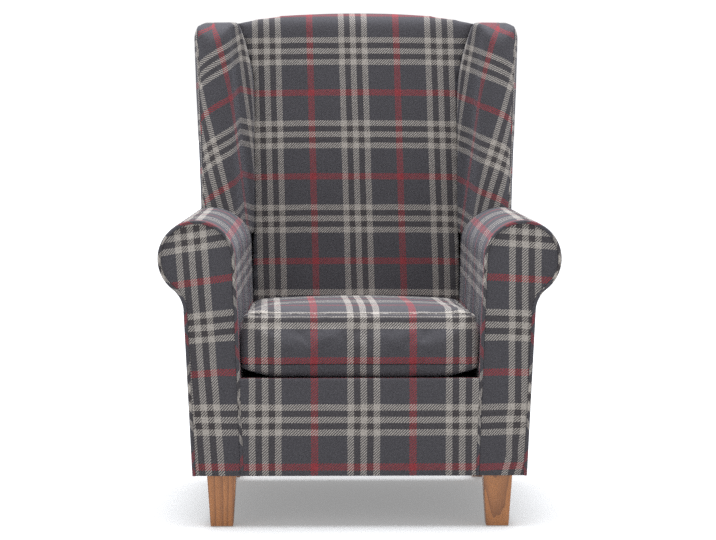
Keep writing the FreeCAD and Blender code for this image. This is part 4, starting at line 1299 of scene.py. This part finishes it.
def makeWings():
    low, high = -120, 700
    lowLoop, highLoop = wingSection(low), wingSection(high)

    def place(i, j):
        x, v = (highLoop if j else lowLoop)[i]
        return at(raked, x, v, high if j else low)

    right = wrap("rightWing", len(lowLoop), 1, place)
    crease = rightCrease(wing["innerTop"])
    lobeCentre = (wing["lobeEdge"] - wing["lobeRadius"], wing["topRise"] - wing["lobeRadius"])
    front = [(back["half"] - 3, low - 5)] + [(x - 3, w) for x, w in crease]
    start, finish = front[-1], (lobeCentre[0], wing["topRise"])
    run, climb = finish[0] - start[0], finish[1] - start[1]
    for k in range(1, 6):
        swing = math.radians(90 * k / 6)
        front.append((finish[0] - run * math.cos(swing), start[1] + climb * math.sin(swing)))
    front += arcPoints(lobeCentre, wing["lobeRadius"], math.pi / 2, 0, 14) + [(wing["lobeEdge"], low - 5)]
    combine(right, flatShape("frontTool", front, raked, fromFront, -300, 600), "INTERSECT")
    rear, top = chair["backThickness"] - 1.2, wing["topRise"]
    bend = wing["lobeRise"] - wing["frontRise"]
    side = [(-wing["reach"], low - 5)]
    side += arcPoints((bend - wing["reach"], wing["frontRise"]), bend, math.pi, math.pi / 2, 14)
    side += [(0, top)] + arcPoints((rear - 30, top - 30), 30, math.pi / 2, 0, 10) + [(rear, low - 5)]
    combine(right, flatShape("sideTool", side, raked, fromSide, 150, 300), "INTERSECT")
    openMesh(right)
    cut = (0, 0, wing["cutHeight"] * mm)
    bpy.ops.mesh.bisect(plane_co=cut, plane_no=(0, 0, 1), use_fill=True, clear_inner=True)
    closeMesh()
    soften(right, wing["voxel"], 14)
    co = inSpace(raked, getPoints(right))
    # padding lifts the rounded front a little
    share = np.clip((60 - co[:, 1]) / 120, 0, 1)
    co[:, 0] += np.where(co[:, 0] > 300, 1.5, 0) * share
    setPoints(right, co * mm)
    right.data.transform(raked)
    ripple(right, 0.8, 9)
    applyModifier(right, "SUBSURF", levels=1, render_levels=1)

    # the seam between the inside and outside panels runs just inside the outer edge
    noseLow, noseHigh, corner = (at(raked, *place) for place in wing["seamPlane"])
    normal = (noseHigh - noseLow).cross(corner - noseLow).normalized()
    if normal.x < 0:
        normal.negate()
    seamPlace = noseLow - normal * wing["seamInset"] * mm
    openMesh(right)
    bpy.ops.mesh.bisect(plane_co=seamPlace, plane_no=normal)
    bpy.ops.mesh.select_all(action="DESELECT")
    closeMesh()
    for polygon in right.data.polygons:
        polygon.select = (polygon.center - seamPlace).dot(normal) > 0
    bpy.ops.object.mode_set(mode="EDIT")
    bpy.ops.mesh.separate(type="SELECTED")
    closeMesh()
    outer = next(piece for piece in bpy.context.selected_objects if piece != right)
    outer.name = "rightOutsideWing"
    outer.data.name = "rightOutsideWing"
    loop = boundaryLoop(outer)
    openMesh(right)
    bpy.ops.mesh.select_all(action="DESELECT")
    bpy.ops.mesh.select_non_manifold()
    bpy.ops.mesh.fill_holes(sides=0)
    closeMesh()
    tidyNormals(right)
    applyModifier(outer, "SOLIDIFY", thickness=1.6 * mm, offset=-1)
    tidyNormals(outer)
    path = evenPath(loop, 6)
    welt = [Vector(place) - normal * 0.8 * mm for place in path]
    cord = cordAlong("rightWingPiping", welt, 1.9, 10, True)
    left = mirrorPiece(right, "leftWing")
    leftOuter = mirrorPiece(outer, "leftOutsideWing")
    leftCord = mirrorPiece(cord, "leftWingPiping")
    sides = (("left", left, leftOuter, leftCord), ("right", right, outer, cord))
    for side, pad, panel, trim in sides:
        weaveMap(pad, wingPattern(side))
        weaveMap(panel, outerWingPattern)
        smoothShade(pad)
        smoothShade(panel, 50)
        nodes = (f"{side}_inside_wing_cover", f"{side}_wing_foam")
        dress(pad, wool, "frame", nodes)
        dress(panel, wool, "frame", (f"{side}_outside_wing_cover",))
        dress(trim, pipingWool, "frame")


makeInsideBack()
print("inside back ready")
makeWings()
print("wings ready")


# outside back and back webbing


webbing = {
    "straps": 4,
    "spacing": 100,
    "half": 24.5,
    "depth": 83.8,
    "sag": 1.4,
    "foot": -98,
    "length": 620,
}


def makeOutsideBack():
    half, corner = wing["rearOffset"], wing["topRise"] - back["rearRound"]
    apex = back["centreRise"] - back["rearRound"]
    shoulder = (float(creaseAt(back["cornerRise"])), back["cornerRise"] - back["rearRound"])
    rightRound = arcPoints((half - 30, corner - 30), 30, 0, math.pi / 2, 8)
    top = crestArc(shoulder[0], apex, apex - shoulder[1], 24)
    outer = chair["backThickness"] + 0.4
    rake = math.radians(chair["rake"])

    def riseOf(z):
        return (z - chair["seatHeight"] + outer * math.sin(rake)) / math.cos(rake)

    low = riseOf(chair["base"])
    edge = [(half, low)] + rightRound
    outline = edge + top + [(-x, w) for x, w in reversed(edge)]
    panels = [flatShape("backPanel", outline, raked, fromFront, outer - 1.9, 1.9)]
    for sign in (1, -1):
        # cloth drawn over the rear end of each arm, tucked under the panel
        arch = armOutline(0, 0, chair["base"], chair["base"])
        shape = [(sign * (x - toeIn * rearReach(z, outer)), riseOf(z)) for x, z in arch]
        panels.append(flatShape("armEnd", shape, raked, fromFront, outer - 1.9, 1.4))
    piece = joinPieces(panels, "outsideBack")

    def pattern(co, facing):
        place = inSpace(raked, co)
        return place[:, 0] + matching["middle"], place[:, 2] - matching["back"]["rise"]

    weaveMap(piece, pattern)
    smoothShade(piece, 30)
    dress(piece, wool, "frame", ("outside_back_cover",))


def makeWebbing():
    straps = []
    for number in range(webbing["straps"]):
        centre = (number - 1.5) * webbing["spacing"]

        def place(s, t):
            sag = webbing["sag"] * math.sin(math.pi * t)
            v = webbing["depth"] - sag + 0.15 * math.sin(s * math.pi * 8)
            across = centre + (2 * s - 1) * webbing["half"]
            return at(raked, across, v, webbing["foot"] + t * webbing["length"])

        strap = sheetOf(f"backStrap{number + 1}", 16, 60, place)
        applyModifier(strap, "SOLIDIFY", thickness=1.3 * mm, offset=0)
        tidyNormals(strap)
        straps.append(strap)
    piece = joinPieces(straps, "backStraps")
    smoothShade(piece, 40)
    dress(piece, webbingCloth, "frame", ("back_webbing",))


makeOutsideBack()
makeWebbing()
print("outside back and straps ready")


# loose seat cushion

cushion = {
    "rise": 127,
    "crown": 10,
    "half": 239,
    "lowSeam": 27,
    "topSeam": 125.5,
    "rear": 580,
    "rearWide": 400,
    "cornerRound": 26,
    "sideDraw": 3,
    "base": 13.8,
    "rearFace": -15,
    "shrink": 2,
    "pressure": 4.0,
    "cap": 8,
    "voxel": 6,
    "seamGap": 1.3,
    "seamDepth": 4.0,
}
cushionSpace = seatPlane @ Matrix.Translation((0, 0, cushion["base"] * mm))


def armInnerAt(u, z):
    # inside face of the arm at a depth and height
    centre = (arm["headOffset"], arm["headHeight"])
    reach = (centre[0] - arm["innerBase"], centre[1] - chair["base"])
    lean = math.atan2(reach[0], reach[1]) - math.asin(arm["headRadius"] / math.hypot(*reach))
    return arm["innerBase"] + math.tan(lean) * (z - chair["base"]) - toeIn * u


def cushionBlock(shrink):
    half, rise = cushion["half"] - shrink, cushion["rise"] - shrink
    seam, crown = cushion["lowSeam"], cushion["crown"]
    front, rear = 2 + shrink, cushion["rear"]
    crownArc = [(x, rise + crown * (1 - (x / half) ** 2)) for x in np.linspace(half, -half, 25)]
    under = ((150, 0), (100, 3), (60, 7), (32, 12), (12, 17))
    low = [(half - inward, shrink + climb) for inward, climb in under] + [(half - 1, seam - 3)]
    face = low + crownArc + [(-x, n) for x, n in reversed(low)]
    piece = flatShape("seatCushion", face, cushionSpace, fromFront, -20, 700)
    side = [(14, shrink), (front + 5, shrink + 2), (front + 1.5, shrink + 8), (front, seam)]
    side += [(front - 2, (seam + rise) / 2), (front + 2, rise - 3), (front + 6, rise + 0.5)]
    for t in np.linspace(0.03, 1, 20):
        swell = crown * 1.05 * math.sin(math.pi * (t * 0.86 + 0.02))
        side.append((front + (rear - front) * t, rise + 1 + swell))
    side.append((rear, shrink))
    combine(piece, flatShape("sideTool", side, cushionSpace, fromSide, -400, 800), "INTERSECT")
    bend, draw = cushion["cornerRound"], cushion["sideDraw"]
    right = arcPoints((half - bend, front + bend), bend, -math.pi / 2, 0, 10)
    plan = right + [(half - draw, 300), (half, rear)]
    plan = plan + [(-x, y) for x, y in reversed(plan)]
    combine(piece, flatShape("planTool", plan, cushionSpace, fromAbove, -40, 260), "INTERSECT")
    wide, face = cushion["rearWide"], cushion["rearFace"] - shrink
    rearTool = [(-wide, face), (wide, face), (wide, wide), (-wide, wide)]
    combine(piece, flatShape("rearTool", rearTool, raked, fromAbove, -400, 800), "DIFFERENCE")
    return piece


def keepClear(co):
    # the cushion stays off the arms, the deck and the back
    place = inSpace(cushionSpace, co)
    world = co / mm
    u = world[:, 1] - chair["frontY"]
    limit = np.array([armInnerAt(a, b) for a, b in zip(u, world[:, 2])]) - 0.5
    # the side borders are pressed out against the arms, down to the lower seam
    x, v, n = place[:, 0].copy(), place[:, 1], place[:, 2]
    side = np.clip((np.abs(x) - limit + 55) / 35, 0, 1) * np.clip((n - 9) / 12, 0, 1)
    side *= np.clip((110 - n) / 25, 0, 1)
    x += np.sign(x) * (limit - np.abs(x)) * side * np.clip((v - 8) / 16, 0, 1)
    place[:, 0] = np.clip(x, -limit, limit)
    # the underside rests on the deck, but not at its rounded edges
    settle = np.clip((30 - n) / 20, 0, 1) * np.clip((205 - np.abs(place[:, 0])) / 60, 0, 1)
    place[:, 2] = np.maximum(place[:, 2] - 5 * settle, 0.4)
    turn = np.array(cushionSpace, float)
    co = place * mm @ turn[:3, :3].T + turn[:3, 3]
    rear = inSpace(raked, co)
    rear[:, 1] = np.minimum(rear[:, 1], cushion["rearFace"] + 0.2)
    turn = np.array(raked, float)
    return rear * mm @ turn[:3, :3].T + turn[:3, 3]


def puff(piece):
    # cloth pressure rounds the cushion; each place may move only a little way
    start = getPoints(piece)
    pick(piece)
    modifier = piece.modifiers.new("Cloth", "CLOTH")
    modifier.settings.use_pressure = True
    modifier.settings.uniform_pressure_force = cushion["pressure"]
    modifier.settings.effector_weights.gravity = 0
    modifier.settings.tension_stiffness = 18
    modifier.settings.compression_stiffness = 18
    modifier.settings.bending_stiffness = 0.6
    modifier.point_cache.frame_start = 1
    modifier.point_cache.frame_end = 20
    for number in range(1, 21):
        scene.frame_set(number)
    bpy.ops.object.modifier_apply(modifier=modifier.name)
    scene.frame_set(1)
    moved = getPoints(piece) - start
    reach = np.linalg.norm(moved, axis=1, keepdims=True)
    limit = np.minimum(1, cushion["cap"] * mm / np.maximum(reach, 1e-9))
    return start + moved * limit


def sewSeam(piece, seamPlace, seamNormal):
    # a real groove where two panels are joined
    openMesh(piece)
    for shift in (-1, 0, 1):
        place = seamPlace + seamNormal * shift * cushion["seamGap"] * mm
        bpy.ops.mesh.select_all(action="SELECT")
        bpy.ops.mesh.bisect(plane_co=place, plane_no=seamNormal)
    closeMesh()
    mesh = piece.data
    pressed = []
    for vertex in mesh.vertices:
        if abs((vertex.co - seamPlace).dot(seamNormal)) < 0.02 * mm:
            pressed.append((vertex.index, vertex.normal.copy()))
    for index, normal in pressed:
        flat = normal - seamNormal * normal.dot(seamNormal)
        if flat.length > 0.2:
            mesh.vertices[index].co -= flat.normalized() * cushion["seamDepth"] * mm


def makeSeatCushion():
    piece = cushionBlock(cushion["shrink"])
    tidyNormals(piece)
    applyModifier(piece, "REMESH", mode="VOXEL", voxel_size=cushion["voxel"] * mm)
    applyModifier(piece, "SMOOTH", factor=0.5, iterations=3)
    co = puff(piece)
    setPoints(piece, keepClear(co))
    applyModifier(piece, "SMOOTH", factor=0.4, iterations=2)
    applyModifier(piece, "SUBSURF", levels=1, render_levels=1)
    up = (cushionSpace.to_3x3() @ Vector((0, 0, 1))).normalized()
    for height in ("topSeam", "lowSeam"):
        sewSeam(piece, at(cushionSpace, 0, 0, cushion[height]), up)

    def pattern(co, facing):
        place = inSpace(cushionSpace, co)
        x, u, n = place[:, 0], place[:, 1], place[:, 2]
        fall, top = matching["cushion"], cushion["topSeam"]
        level = chair["railTop"] + cushion["base"] + np.minimum(n, top + 4)
        along = level + np.maximum(0, u - 4) * np.where(n > top - 6, 1, 0)
        under = n < 4
        along = np.where(under, level - np.maximum(0, u - 8), along)
        sideways = (np.abs(facing[:, 0]) > 0.7) & (u > 26)
        across = (x + fall["drift"] * np.maximum(0, u) - fall["centre"]) / fall["stretch"]
        across = np.where(sideways, u + 40, across + matching["middle"])
        along = np.where(sideways, level, along)
        return across, along - fall["rise"]

    weaveMap(piece, pattern)
    smoothShade(piece)
    nodes = ("seat_cushion_cover", "seat_cushion_foam")
    dress(piece, wool, "seat_cushion", nodes)


makeSeatCushion()
print("seat cushion ready")
